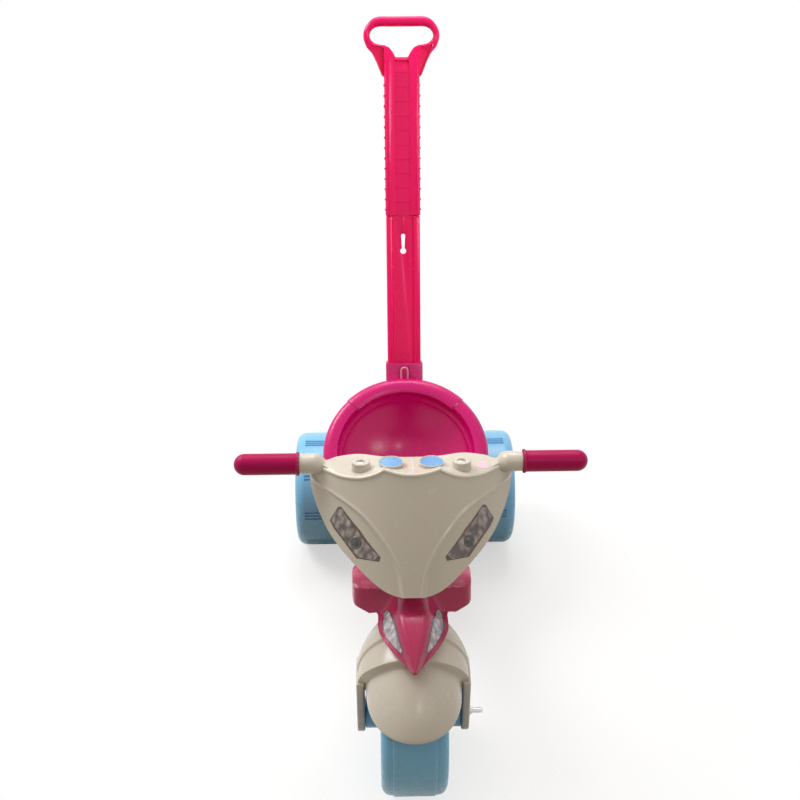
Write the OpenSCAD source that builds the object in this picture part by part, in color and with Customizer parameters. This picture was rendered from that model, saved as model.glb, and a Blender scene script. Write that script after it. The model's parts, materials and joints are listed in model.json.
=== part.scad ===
// Toddler push along trike: scooter-look front end, bucket seat and a plug-in parent push pole.
// The front faces -Y, +Z is up, and the origin lies on the floor under the middle of the trike.

/* [Wheels] */
// Distance between the front and rear axles
wheelbase = 485; // [460:1:520]
// Front wheel diameter
front_wheel_d = 210; // [196:1:224]
// Front wheel width
front_wheel_w = 84; // [72:1:92]
// Rear wheel diameter
rear_wheel_d = 186; // [172:1:196]
// Rear wheel width
rear_wheel_w = 84; // [70:1:90]
// Width over the outer faces of the rear wheels
rear_track = 353; // [340:1:380]
// Diameter of the steel axle rods
axle_d = 10; // [8:0.5:12]
// How far the front axle's end stands out of the right fork leg
axle_stub = 19; // [12:1:26]
// Groups of tread grooves around a rear wheel
tread_groups = 9; // [6:1:12]

/* [Steering] */
// Backward lean of the steering column, in degrees
steer_lean = 23; // [18:0.5:27]
// Width over the ends of the handlebar grips
bar_width = 442; // [410:1:470]
// Height of the handlebar above the top of the head, along the column
bar_rise = 156; // [146:1:170]
// Diameter of the steel steering column
column_d = 18; // [15:0.5:20]
// Diameter of the moulded handlebar under the grips
bar_d = 19; // [16:0.5:21]
// Diameter of the handlebar grips
grip_d = 27; // [25:0.5:31]
// Bare bar between the dash and a grip
stub_len = 19.5; // [12:0.5:30]

/* [Fork and mudguard] */
// Gap between the front tyre and the inside of the mudguard
guard_gap = 26; // [22:0.5:32]
// Gap between the side of the front wheel and the inside of the mudguard
guard_side_gap = 15; // [12:0.5:18]
// Wall of the mudguard
guard_wall = 3; // [2.5:0.1:4]
// Angle of the mudguard's front lip above the forward horizontal, in degrees
guard_lip_angle = 30; // [24:1:36]
// Thickness of one fork leg
leg_t = 10; // [8:0.5:12]

/* [Fairing] */
// Width of the fairing shield at its top
shield_w = 250; // [230:1:256]
// Height of the fairing shield along its face
shield_h = 140; // [128:1:146]
// Radius of the shield's curve, seen along the column
shield_r = 160; // [150:1:190]
// Wall of the shield and the dash
shell_t = 3; // [2.5:0.1:4]
// Diameter of a dash dial
dial_d = 33; // [26:1:38]
// Diameter of a dash screw boss
boss_d = 24; // [18:0.5:28]

/* [Seat] */
// Radius over the seat's rolled rim
seat_r = 121; // [114:1:126]
// Diameter of the rolled rim
rim_d = 23; // [18:0.5:26]
// Slope of the plane of the rim, in degrees
rim_slope = 38; // [34:0.5:42]
// Depth of the dished backrest below the plane of the rim
dish_depth = 48; // [42:1:54]
// Height of the rim's middle above the seat deck
rim_rise = 46; // [42:1:52]
// Wall of the seat shell
seat_wall = 6; // [4:0.5:8]

/* [Push pole] */
// Backward tilt of the pole, in degrees
pole_tilt = 23.5; // [18:0.5:28]
// Width of the lower pole
pole_w = 52; // [46:1:56]
// Depth of the lower pole, front to back
pole_d = 26; // [22:1:30]
// Where the lower pole meets the upper pole, above the rim
pole_joint = 264; // [230:1:300]
// Length of the upper pole below its loop
upper_len = 205; // [180:1:240]
// Height of the hand loop
loop_h = 89; // [84:1:100]
// Width over the hand loop
loop_w = 116; // [108:1:130]
// Diameter of the loop's bar
loop_bar_d = 15; // [13:0.5:17]
// Depth to which the pole plugs into its socket
plug_depth = 95; // [80:1:105]

/* [Hidden] */
$fn = 64;

// Fits
run_gap = 0.06;
slip_gap = 0.3;
face_gap = 0.5;
over = 1;

// Wheel places
front_r = front_wheel_d / 2;
rear_r = rear_wheel_d / 2;
axle_r = axle_d / 2;
bore_r = axle_r + run_gap;
hub_r = axle_r + 15;
web_t = 5;
shoulder_r = 15;
wheel_gap = 6;
groove_w = 3;
groove_deep = 2.2;
groove_step = 5.4;
groove_span = 0.62;
cap_recess = 14;
rear_in_x = rear_track / 2 - rear_wheel_w;
rear_mid_x = rear_track / 2 - rear_wheel_w / 2;
base_half_w = rear_in_x - wheel_gap;

// Mudguard sections, all turned about the front axle
guard_tube = front_wheel_w / 2 + guard_side_gap + guard_wall;
guard_r = front_r + guard_gap + guard_wall;
guard_mid = guard_r - guard_tube;
step_up = 10;
step_top = -1;
step_angle = 1.5;
step_bead = 0.4;
lip_z = guard_r * sin(guard_lip_angle);
arch_tube = guard_tube + step_up;
crown_tube = arch_tube + step_top;
leg_out_x = arch_tube + 2;
leg_in_x = leg_out_x - leg_t;
crown_r = guard_r + step_up + step_top;
arch_front = 71;
arch_top = 88;
arch_back = 142;
skirt = 12;
leg_end_r = 24;

// Steering stack, along the column from the front axle
head_clear = 4;
boss_rise = 6;
boss_top = crown_r + boss_rise;
washer_t = head_clear - 0.4;
head_z0 = boss_top + head_clear;
nose_top_z = head_z0 + 25;
head_top_z = nose_top_z + 58;
column_r = column_d / 2;
head_r = column_r + 12;
bar_z = nose_top_z + bar_rise;
column_z0 = crown_r - 32;
column_z1 = bar_z - bar_d;

// Fairing frame, at the middle of the shield's top edge
shield_lean = 10.5;
shield_y = -52;
shield_z = bar_z - 14;
shield_proud = 2.5;
crease_low_w = 13;
crease_share = 0.92;
dash_half_w = shield_w / 2 - 5;
dash_t = 5;
dash_back_y = 14;
dash_z = bar_z + 6;
dash_slope = 12;
dial_x = 25;
dial_y = -36;
dial_h = 7;
boss_x = 64;
boss_y = -3;
boss_h = 6;
screw_r = 2.2;
screw_head_r = 4.6;
decal_t = 0.5;

// Front axle ends
axle_neck_r = axle_r - 1.5;
axle_neck_w = 3;
axle_head_r = axle_r + 4;
axle_head_t = 3;
clip_t = 1.2;
clip_r = axle_r + 2.5;

// Seat and pole places
seat_base_z = rear_wheel_d - 2;
rim_r = rim_d / 2;
rim_mid_r = seat_r - rim_r;
pan_t = 17;
pan_z = seat_base_z + pan_t;
bowl_z = seat_base_z + rim_rise;
bowl_back = 92;
pan_front = 128;
dish_mouth = rim_mid_r - rim_r - 1.5;
dish_r = (pow(dish_mouth, 2) + pow(dish_depth, 2)) / (2 * dish_depth);
socket_wall = 2.5;
socket_in_w = pole_w + 2 * slip_gap;
socket_in_d = pole_d + 2 * slip_gap;
socket_up = 36;
socket_front = 7;
pole_axis_off = socket_front + socket_wall + slip_gap + pole_d / 2;
spigot_len = 60;
loop_z0 = pole_joint + upper_len;
pole_top = loop_z0 + loop_h;
upper_w = pole_w + 4;
upper_d = pole_d + 3;
rail_share = 0.27;
recess = 6;
pole_web = 4;
keyhole_r = 4.5;
keyhole_slot = 4;
keyhole_len = 23;
keyhole_z = pole_joint - 54;
notch_step = 13;
notch_len = 8;
notch_deep = 2.6;
tongue_w = 14;
tongue_len = 25;
tongue_slot = 2;
tongue_top = socket_up - 5;

// The trike is centred between the mudguard's lip and the back of the hand loop
front_reach = wheelbase + guard_r * cos(guard_lip_angle);
pole_foot_y = -bowl_back + rim_mid_r * cos(rim_slope) + pole_axis_off * cos(pole_tilt);
rear_reach = pole_foot_y + pole_top * sin(pole_tilt) + loop_bar_d / 2 * cos(pole_tilt);
rear_axle_y = (front_reach - rear_reach) / 2;
front_axle_y = rear_axle_y - wheelbase;
bowl_y = rear_axle_y - bowl_back;
pole_foot = [0, rear_axle_y + pole_foot_y,
    bowl_z + rim_mid_r * sin(rim_slope) - pole_axis_off * sin(pole_tilt)];

pink = "deeppink";
cream = "ivory";
sky = "lightskyblue";
steel = "silver";

// Frames

module at_front_axle() translate([0, front_axle_y, front_r]) children();

module at_rear_axle() translate([0, rear_axle_y, rear_r]) children();

module at_steering() at_front_axle() rotate([-steer_lean, 0, 0]) children();

// The top edge of the shield, with z up its face
module at_shield() at_steering()
    translate([0, shield_y, shield_z]) rotate([-shield_lean, 0, 0]) children();

// The plane of the seat rim, with y up its slope
module at_bowl() translate([0, bowl_y, bowl_z]) rotate([rim_slope, 0, 0]) children();

module at_pole() translate(pole_foot) rotate([-pole_tilt, 0, 0]) children();

// A turning about the axle, where x is forward, y is up and angles run from front to top
module about_axle() rotate([90, 0, -90]) children();

// Shapes

module x_rod(r, x0, x1) translate([x0, 0, 0]) rotate([0, 90, 0]) cylinder(r = r, h = x1 - x0);

module mirrored() {
    children();
    mirror([1, 0, 0]) children();
}

// A rectangle centred on the origin with round corners
module round_rect(w, d, r) {
    square([w, d - 2 * r], center = true);
    square([w - 2 * r, d], center = true);
    for (x = [-1, 1], y = [-1, 1])
        translate([x * (w / 2 - r), y * (d / 2 - r)]) circle(r = r);
}

// Half of a band of the given width, from the axis out to a tread with round shoulders
module tread_profile(r_out, w, corner) {
    translate([0, -w / 2]) square([r_out - corner, w]);
    translate([0, -w / 2 + corner]) square([r_out, w - 2 * corner]);
    for (s = [-1, 1]) translate([r_out - corner, s * (w / 2 - corner)]) circle(r = corner);
}

function signed_pow(v, e) = sign(v) * pow(abs(v), e);

// One closed section: place y and z, backward lean, half width, half height and squareness
function ring(s, n) = [for (i = [0 : n - 1])
    let (a = 360 * i / n, v = s[4] * signed_pow(sin(a), 2 / s[5]))
    [s[3] * signed_pow(cos(a), 2 / s[5]), s[0] + v * sin(s[2]), s[1] + v * cos(s[2])]];

// Sections between the key ones, on one smooth curve through them all
function blend(a, b, c, d, t) = 0.5 * (2 * b + (c - a) * t + (2 * a - 5 * b + 4 * c - d) * t * t
    + (3 * b - a - 3 * c + d) * t * t * t);
function smooth(keys, m) = let (last = len(keys) - 1) concat(
    [for (i = [0 : last - 1], j = [0 : m - 1])
        blend(keys[max(i - 1, 0)], keys[i], keys[i + 1], keys[min(i + 2, last)], j / m)],
    [keys[last]]);

// A solid skinned over rings of points, closed by its two end rings
module skin(rings) {
    n = len(rings[0]);
    last = len(rings) - 1;
    sides = [for (k = [0 : last - 1], i = [0 : n - 1])
        let (a = k * n + i, b = k * n + (i + 1) % n)
        each [[a, b, b + n], [a, b + n, a + n]]];
    caps = [[for (i = [n - 1 : -1 : 0]) i], [for (i = [0 : n - 1]) last * n + i]];
    polyhedron(points = [for (r = rings) each r], faces = concat(sides, caps));
}

module loft(keys, n, m) skin([for (s = smooth(keys, m)) ring(s, n)]);

// Chassis

// A section given along the column, as one in the trike's own frame
function from_column(k) = [
    front_axle_y + k[0] * cos(steer_lean) + k[1] * sin(steer_lean),
    front_r + k[1] * cos(steer_lean) - k[0] * sin(steer_lean), k[2] + steer_lean, k[3], k[4], k[5]];

head_y = front_axle_y + nose_top_z * sin(steer_lean);
head_z = front_r + nose_top_z * cos(steer_lean);
deck_lead = 78;
tail_len = 74;
spine_lead = 78;
spine_sag = 46;
deck_y0 = bowl_y - deck_lead;
landing_y = bowl_y - pan_front - face_gap;
deck_h = 120;
deck_z = seat_base_z + 1.5 - deck_h / 2;
chassis_end_y = rear_axle_y + tail_len;
spine_y = (head_y + spine_lead + deck_y0) / 2;
spine_z = (head_z + seat_base_z) / 2 - spine_sag;
beak_w = 46;
wing_w = 75;

// From the tip of the nose back over the shoulders and the spine to the tail
body_keys = concat(
    [for (k = [[-119, -46, -40, 4, 5, 2], [-102, -35, -38, 17, 14, 2.1], [-82, -25, -32, 33, 24, 2.4],
        [-60, -14, -24, beak_w - 1, 31, 2.8], [-36, -6, -14, beak_w + 1, 28, 2.8],
        [-13, 1, -4, wing_w - 3, 23, 2.2], [16, 4, 6, wing_w, 25, 3], [42, 2, 10, wing_w - 1, 27, 3]])
        from_column(k + [0, head_z0, 0, 0, 0, 0])],
    [[head_y + spine_lead, head_z - 62, 34, 47, 28, 2.6],
        [spine_y, spine_z, 26, 43, 38, 2.8],
        [deck_y0, seat_base_z - 44, 8, 52, 45, 3.2],
        [bowl_y, deck_z, 0, base_half_w - 6, deck_h / 2, 4],
        [rear_axle_y + 30, deck_z, 0, base_half_w, deck_h / 2, 4.5],
        [chassis_end_y, deck_z - 5, -6, base_half_w - 8, deck_h / 2 - 10, 4]]);
body_points = 32;
body_steps = 3;
spine_key = 9;
chassis_wall = 3.5;
cavity_low = 40;
rib_step = 62;
rib_t = 3;
axle_boss_r = axle_r + 6;
screw_places = [[46, -12], [40, -128]];

// The inside of the moulding, open underneath, as cells between moulded ribs
module chassis_cells() {
    last = len(body_keys) - 1;
    cavity = [for (i = [spine_key : last]) let (k = body_keys[i])
        [k[0] + (i == spine_key ? 18 : i == last ? -10 : 0), k[1] - cavity_low / 2 - chassis_wall, k[2],
            k[3] - chassis_wall, k[4] + cavity_low / 2, k[5]]];
    difference() {
        loft(cavity, 24, 1);
        translate([-rib_t / 2, -2 * wheelbase, 0]) cube([rib_t, 4 * wheelbase, front_wheel_d * 2]);
        for (y = [deck_y0 : rib_step : chassis_end_y])
            translate([-rear_track, y, 0]) cube([2 * rear_track, rib_t, front_wheel_d * 2]);
        at_rear_axle() x_rod(axle_boss_r, -rear_track, rear_track);
        translate([-rear_track, landing_y - chassis_wall, seat_base_z - chassis_wall])
            cube([2 * rear_track, wheelbase, front_r]);
    }
}

module chassis() color(pink) difference() {
    union() {
        loft(body_keys, body_points, body_steps);
        at_steering() translate([0, 0, head_z0 - 10]) cylinder(r = head_r, h = head_top_z - head_z0 + 10);
    }
    chassis_cells();
    at_front_axle() sphere(r = head_z0);
    at_steering() translate([0, 0, head_z0 - 20]) cylinder(r = head_r + 2, h = 20);
    at_steering() translate([0, 0, head_z0 - 20]) cylinder(r = column_r + run_gap, h = head_top_z);
    translate([-rear_track, landing_y, seat_base_z - 0.05]) cube([2 * rear_track, wheelbase, front_r]);
    at_rear_axle() x_rod(bore_r, -rear_track, rear_track);
    for (p = screw_places, s = [-1, 1]) translate([s * p[0], rear_axle_y + p[1], seat_base_z - 20]) {
        cylinder(r = screw_r + slip_gap, h = 40);
        cylinder(r = screw_head_r + slip_gap, h = 20 - chassis_wall);
    }
}

module seat_screws() color(steel) for (p = screw_places, s = [-1, 1])
    translate([s * p[0], rear_axle_y + p[1], 0]) {
        translate([0, 0, seat_base_z - chassis_wall - 2.9]) cylinder(r = screw_head_r, h = 2.8);
        translate([0, 0, seat_base_z - chassis_wall - 1]) cylinder(r = screw_r - 0.05, h = chassis_wall + 7);
    }

axle_end_x = rear_track / 2 - cap_recess + 8;

module rear_axle() color(steel) at_rear_axle() x_rod(axle_r, -axle_end_x, axle_end_x);

module axle_caps() color(steel) at_rear_axle() mirrored() {
    translate([rear_track / 2 - cap_recess + face_gap, 0, 0]) difference() {
        union() {
            x_rod(axle_r + 7, 0, 2);
            x_rod(axle_r + 3, 0, 10);
        }
        x_rod(axle_r, -over, 7.5);
    }
}

// A lens-shaped sticker on a flank of the nose: each row runs round part of one section of the body
eye_from = 4;
eye_to = 9;
eye_rows = smooth(body_keys, body_steps);
function eye_row(i, side) = let (t = (i - eye_from) / (eye_to - eye_from), k = eye_rows[i],
    mid = 44 + 10 * t, half = 3 + 13 * sin(180 * t))
    concat([for (j = [0 : 6]) flank_point(k, mid + half * (j / 3 - 1), decal_t, side)],
        [for (j = [6 : -1 : 0]) flank_point(k, mid + half * (j / 3 - 1), 0.15, side)]);
function flank_point(k, a, grow, side) = let (v = (k[4] + grow) * pow(sin(a), 2 / k[5]))
    [side * (k[3] + grow) * pow(cos(a), 2 / k[5]), k[0] + v * sin(k[2]), k[1] + v * cos(k[2])];

module nose_decals() color("gray") {
    skin([for (i = [eye_to : -1 : eye_from]) eye_row(i, -1)]);
    skin([for (i = [eye_from : eye_to]) eye_row(i, 1)]);
}

// Steering

module steering_washer() color(cream) at_steering() translate([0, 0, boss_top + 0.1])
    difference() {
        cylinder(r = head_r - 2, h = washer_t);
        translate([0, 0, -over]) cylinder(r = column_r + slip_gap, h = washer_t + 2 * over);
    }

// A length of half tube round the wheel, between two radii and two angles about the axle
module guard_band(tube, inner, from, to) about_axle() rotate([0, 0, from])
    rotate_extrude(angle = to - from) intersection() {
        translate([guard_mid, 0]) difference() {
            union() {
                circle(r = tube);
                translate([-skirt, -tube]) square([skirt, 2 * tube]);
            }
            circle(r = inner);
            translate([-skirt - over, -inner]) square([skirt + over, 2 * inner]);
        }
        translate([guard_mid - skirt, -2 * tube]) square([4 * tube, 4 * tube]);
    }

// One leg plate: from its rounded end at the axle up into the arch
module leg() rotate([90, 0, -90]) translate([0, 0, leg_in_x]) linear_extrude(height = leg_t)
    polygon(concat(
        [for (a = [-170 : 10 : 0]) leg_end_r * [cos(a), sin(a)]],
        [for (a = [arch_front + 2 : 6 : arch_top + 22]) (guard_mid + 6) * [cos(a), sin(a)]]));

// The front of the mudguard, cut level along its lip
module guard_dome() difference() {
    guard_band(guard_tube, guard_tube - guard_wall, guard_lip_angle - 5, arch_front + step_angle);
    translate([-arch_tube, -2 * guard_r, lip_z - 2 * guard_r])
        cube([2 * arch_tube, 2 * guard_r, 2 * guard_r]);
}

module fork() color(cream) at_front_axle() difference() {
    union() {
        guard_dome();
        guard_band(arch_tube, guard_tube - guard_wall - step_bead, arch_front, arch_front + step_angle);
        guard_band(arch_tube, arch_tube - guard_wall, arch_front, arch_top + step_angle);
        guard_band(arch_tube, crown_tube - guard_wall, arch_top, arch_top + step_angle);
        guard_band(crown_tube, crown_tube - guard_wall, arch_top, arch_back);
        mirrored() leg();
        rotate([-steer_lean, 0, 0]) translate([0, 0, column_z0 - 4])
            cylinder(r = head_r - 2, h = boss_top - column_z0 + 4);
    }
    rotate([-steer_lean, 0, 0]) translate([0, 0, column_z0])
        cylinder(r = column_r + run_gap, h = crown_r);
    x_rod(bore_r, -rear_track, rear_track);
}

module steering_column() color(steel) at_steering() translate([0, 0, column_z0 + face_gap])
    difference() {
        cylinder(r = column_r, h = column_z1 - column_z0 - face_gap);
        translate([0, 0, -over]) cylinder(r = column_r - 2, h = column_z1);
        translate([0, 0, bolt_z - column_z0 - face_gap]) rotate([90, 0, 0])
            cylinder(r = bolt_r + slip_gap, h = 4 * column_r, center = true);
    }

bolt_z = head_top_z + 32;
bolt_r = 2.5;
boss_low_z = head_top_z + 4;
bar_boss_r = column_r + 7;
beam_top = bar_z - 6;
beam_h = 15;
beam_d = 16;
bar_x0 = dash_half_w + face_gap;
bar_shoulder_r = bar_d / 2 + 4;

module handlebar() color(cream) at_steering() difference() {
    union() {
        mirrored() translate([0, 0, bar_z]) {
            x_rod(bar_d / 2, bar_x0, bar_width / 2 - 12);
            translate([bar_x0, 0, 0]) rotate([0, 90, 0])
                cylinder(r1 = bar_shoulder_r, r2 = bar_d / 2, h = stub_len - 3.5);
        }
        translate([-bar_x0 - 4, -beam_d / 2, beam_top - beam_h]) cube([2 * bar_x0 + 8, beam_d, beam_h]);
        translate([0, 0, boss_low_z]) cylinder(r = bar_boss_r, h = beam_top - boss_low_z);
    }
    translate([0, 0, boss_low_z - over])
        cylinder(r = column_r + run_gap, h = column_z1 - boss_low_z + over + face_gap);
    translate([0, 0, bolt_z]) rotate([90, 0, 0])
        cylinder(r = bolt_r + slip_gap, h = 4 * bar_boss_r, center = true);
    for (s = [-1, 1]) translate([s * boss_x, boss_y, beam_top - beam_h / 2])
        cylinder(r = screw_r, h = beam_h);
}

// A cross bolt with its nut, which locks the handlebar to the column
module column_bolt() color(steel) at_steering() translate([0, 0, bolt_z]) rotate([90, 0, 0]) {
    cylinder(r = bolt_r, h = 2 * bar_boss_r + 9, center = true);
    translate([0, 0, bar_boss_r + 0.2]) cylinder(r = 4.5, h = 3.4);
    translate([0, 0, -bar_boss_r - 4.2]) cylinder(r = 4.6, h = 4, $fn = 6);
}

// Fairing and dash

// Half width of the shield, and of its raised middle, at a share of its height
function shield_half(t) = shield_w / 2 * pow(1 - pow(1 - t, 1.6), 0.65);
function crease_half(t) = crease_low_w + (shield_w / 2 - crease_low_w) * pow(t / crease_share, 2.2);
function both_sides(half) = concat(half, [for (i = [len(half) - 1 : -1 : 0]) [-half[i][0], half[i][1]]]);
shield_steps = 20;
shield_rise = 16;
top_corner = [[shield_w / 2, shield_rise]];
shield_line = both_sides(concat([for (i = [0 : shield_steps]) let (t = pow(i / shield_steps, 2))
    [shield_half(t), (t - 1) * shield_h]], top_corner));
middle_line = both_sides(concat([for (i = [0 : shield_steps]) let (t = pow(i / shield_steps, 2))
    [min(crease_half(t), shield_half(t)), (t - 1) * shield_h]], top_corner));

// A piece of the shield's round wall, cut to an outline seen from the front
module shield_wall(r_out, t, line) intersection() {
    translate([0, shield_r, -shield_h - over]) linear_extrude(height = shield_h + shield_rise + over)
        difference() {
            circle(r = r_out, $fn = 160);
            circle(r = r_out - t, $fn = 160);
        }
    translate([0, shield_r / 2, 0]) rotate([90, 0, 0]) linear_extrude(height = shield_r) polygon(line);
}

// Two moulded webs carry the shield on the handlebar's boss
web_low = 70;

module fairing() color(cream) difference() {
    union() {
        at_shield() shield_wall(shield_r - shield_proud, shell_t, shield_line);
        at_shield() shield_wall(shield_r, shell_t + shield_proud - 0.2, middle_line);
        intersection() {
            at_steering() mirrored() translate([boss_x / 2, -shield_r / 2, beam_top - beam_h - web_low])
                cube([shell_t, shield_r / 2 + beam_d / 2, web_low - 0.2]);
            at_shield() translate([0, shield_r, -shield_h])
                cylinder(r = shield_r - shield_proud - 0.5, h = 2 * shield_h, $fn = 160);
        }
        at_steering() translate([-boss_x / 2 - 1, -bar_boss_r - 1, beam_top - beam_h - web_low])
            cube([boss_x + 2 * shell_t - 1, 2 * bar_boss_r + 2, 10]);
    }
    at_steering() translate([0, 0, boss_low_z - over]) cylinder(r = bar_boss_r + 0.2, h = bar_z);
    at_dash() translate([-shield_w, -2 * dash_front, -dash_t - 0.1])
        cube([2 * shield_w, 3 * dash_front, 2 * shield_rise]);
    at_steering() translate([0, 0, bar_z]) x_rod(bar_shoulder_r + slip_gap, -bar_width, bar_width);
    at_steering() translate([-bar_x0 - 4 - slip_gap, -beam_d / 2 - slip_gap, beam_top - beam_h - slip_gap])
        cube([2 * bar_x0 + 8 + 2 * slip_gap, bar_width, bar_width]);
}

// The dash top, with y back from the front lip and z off its face
module at_dash() at_steering() translate([0, dash_back_y, dash_z]) rotate([dash_slope, 0, 0]) children();

lobe_r = 42;
dash_front = (dash_back_y - shield_y) / cos(dash_slope);

// The plan of the dash: the shield's curve with three lobes along the front lip
module dash_plan() intersection() {
    union() {
        translate([0, shield_r - dash_front + 3]) circle(r = shield_r, $fn = 160);
        translate([0, lobe_r - dash_front - 1]) circle(r = lobe_r);
        for (s = [-1, 1]) translate([s * boss_x, lobe_r - dash_front + 5]) circle(r = lobe_r - 4);
    }
    translate([-dash_half_w, -2 * dash_front]) square([2 * dash_half_w, 2 * dash_front]);
}

module dash() color(cream) difference() {
    union() {
        at_dash() translate([0, 0, -dash_t]) linear_extrude(height = dash_t) dash_plan();
        at_dash() mirrored() translate([dial_x, dial_y, -over])
            cylinder(r1 = dial_d / 2 - 3, r2 = dial_d / 2, h = dial_h + over);
        at_steering() for (s = [-1, 1]) translate([s * boss_x, boss_y, beam_top])
            cylinder(d = boss_d, h = dash_z + boss_h - beam_top);
    }
    at_steering() for (s = [-1, 1]) translate([s * boss_x, boss_y, beam_top - over]) {
        cylinder(r = screw_r + slip_gap, h = boss_h + dash_z);
        translate([0, 0, dash_z + boss_h - 3 - beam_top + over])
            cylinder(r = screw_head_r + slip_gap, h = boss_h);
    }
}

module dash_screws() color(steel) at_steering() for (s = [-1, 1]) translate([s * boss_x, boss_y, 0]) {
    translate([0, 0, beam_top - beam_h / 2 + 2])
        cylinder(r = screw_r - 0.05, h = dash_z + boss_h - beam_top + 3);
    translate([0, 0, dash_z + boss_h - 3]) difference() {
        cylinder(r = screw_head_r, h = 2.4);
        for (a = [0, 90]) rotate([0, 0, a]) translate([-2.8, -0.5, 1.4]) cube([5.6, 1, 2]);
    }
}

grip_x0 = bar_x0 + stub_len;
grip_len = bar_width / 2 - grip_x0;
grip_r = grip_d / 2;
grip_flange = 3;

module grip() translate([0, 0, bar_z]) rotate([0, 90, 0]) difference() {
    union() {
        translate([0, 0, grip_x0]) cylinder(r = grip_r + 1.6, h = grip_flange);
        translate([0, 0, grip_x0]) cylinder(r = grip_r, h = grip_len - grip_r);
        translate([0, 0, grip_x0 + grip_len - grip_r]) sphere(r = grip_r);
    }
    translate([0, 0, grip_x0 - over]) cylinder(r = bar_d / 2 + run_gap, h = grip_len - 11 + over);
}

module grip_left() color(pink) at_steering() mirror([1, 0, 0]) grip();

module grip_right() color(pink) at_steering() grip();

// Lamp stickers on the shield's two side panels, outlined by shares of its width and height
lamp_line = [[-0.77, -0.225], [-0.70, -0.25], [-0.545, -0.47], [-0.35, -0.635], [-0.37, -0.68],
    [-0.575, -0.65], [-0.655, -0.58], [-0.85, -0.35]];

module headlight_decals() color("gray") at_shield() mirrored()
    shield_wall(shield_r - shield_proud + decal_t, decal_t - 0.05,
        [for (p = lamp_line) [p[0] * shield_w / 2, p[1] * shield_h]]);

module dial_decals() color("cornflowerblue") at_dash() {
    mirrored() translate([dial_x, dial_y, dial_h]) cylinder(r = dial_d / 2 - 0.8, h = decal_t);
    translate([boss_x + 23, boss_y - 12, 0]) cylinder(r = 8, h = decal_t);
}

// Front wheel

spokes = 5;
spoke_t = 6;
spoke_in = 8;
lip_t = 5;
lip_w = 16;
tread_t = 6.5;
front_shoulder = 9;
crest_drop = 6;

// A moulded wheel from its turned profile: hollow sides behind a lip, spokes, hub and bore
module wheel_body(r_out, r_side, w, hub_in, hub_out) difference() {
    union() {
        difference() {
            rotate([0, 90, 0]) rotate_extrude() children();
            mirrored() rotate([0, 90, 0]) rotate_extrude() {
                translate([0, web_t / 2]) square([r_side - lip_t, w]);
                translate([0, web_t / 2]) square([r_out - tread_t, w / 2 - web_t / 2 - lip_w]);
            }
        }
        x_rod(hub_r, -hub_in, hub_out);
        for (i = [0 : spokes - 1]) rotate([i * 360 / spokes, 0, 0])
            translate([-w / 2 + spoke_in, -spoke_t / 2, hub_r - 3])
                cube([w - 2 * spoke_in, spoke_t, r_side - hub_r]);
    }
    x_rod(bore_r, -w - hub_in, w + hub_out);
}

module front_profile() {
    low_r = front_r - crest_drop;
    half = front_wheel_w / 2 - 5;
    crest = front_wheel_w * 0.31;
    tread_profile(low_r, front_wheel_w, front_shoulder);
    polygon([[low_r - 12, -half], [low_r - 0.9, -half], [front_r, -crest], [front_r, crest],
        [low_r - 0.9, half], [low_r - 12, half]]);
}

module front_wheel() color(sky) at_front_axle()
    wheel_body(front_r - crest_drop, front_r - crest_drop - front_shoulder, front_wheel_w,
        leg_in_x - face_gap, leg_in_x - face_gap) front_profile();

// A headed rod whose far end is necked for a spring clip
module front_axle() color(steel) at_front_axle() {
    x_rod(axle_head_r, -leg_out_x - axle_head_t - 0.2, -leg_out_x - 0.2);
    x_rod(axle_r, -leg_out_x - 0.4, leg_out_x + 0.2);
    x_rod(axle_neck_r, leg_out_x, leg_out_x + axle_neck_w + 0.2);
    x_rod(axle_r, leg_out_x + axle_neck_w, leg_out_x + axle_stub - 2);
    translate([leg_out_x + axle_stub - 2, 0, 0]) rotate([0, 90, 0])
        cylinder(r1 = axle_r, r2 = axle_r - 2, h = 2);
}

module axle_clip() color(steel) at_front_axle() translate([leg_out_x + 0.9, 0, 0]) difference() {
    x_rod(clip_r, 0, clip_t);
    x_rod(axle_neck_r, -over, clip_t + over);
    translate([-over, -axle_neck_r + 0.4, -2 * clip_r])
        cube([clip_t + 2 * over, 2 * axle_neck_r - 0.8, 2 * clip_r]);
}

// Rear wheels

module rear_wheel() difference() {
    wheel_body(rear_r, rear_r - shoulder_r, rear_wheel_w, rear_mid_x - base_half_w - face_gap,
        rear_wheel_w / 2 - cap_recess) tread_profile(rear_r, rear_wheel_w, shoulder_r);
    for (g = [0 : tread_groups - 1], i = [-1 : 1])
        rotate([g * 360 / tread_groups, 0, 0]) translate([0, i * groove_step, rear_r])
            cube([rear_wheel_w * groove_span, groove_w, 2 * groove_deep], center = true);
}

module rear_wheel_right() color(sky) at_rear_axle() translate([rear_mid_x, 0, 0]) rear_wheel();

module rear_wheel_left() color(sky) at_rear_axle() mirror([1, 0, 0])
    translate([rear_mid_x, 0, 0]) rear_wheel();

// Seat

pan_half_w = rim_mid_r - 6;
nose_half_w = 40;
corner_r = 26;
floor_drop = 9;
dish_z = dish_r - dish_depth;
socket_out_w = socket_in_w + 2 * socket_wall;
socket_out_d = socket_in_d + 2 * socket_wall;
socket_low = socket_up - plug_depth;
pad_half_angle = 46;
pad_proud = 1.2;

// The plan of the seat pan, from its round front nose to the foot of the backrest
pan_tail = 104;
pan_keys = [[0, -pan_front], [nose_half_w, -pan_front + 5], [nose_half_w + corner_r, corner_r - pan_front],
    [pan_half_w - 9, -58], [pan_half_w, -14], [pan_half_w - 5, 18], [base_half_w - 4, 44],
    [base_half_w - 4, pan_tail]];

module pan_plan() polygon(both_sides(smooth(pan_keys, 4)));

module above_deck() translate([-rear_track, -2 * wheelbase, seat_base_z])
    cube([2 * rear_track, 4 * wheelbase, 2 * wheelbase]);

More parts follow.
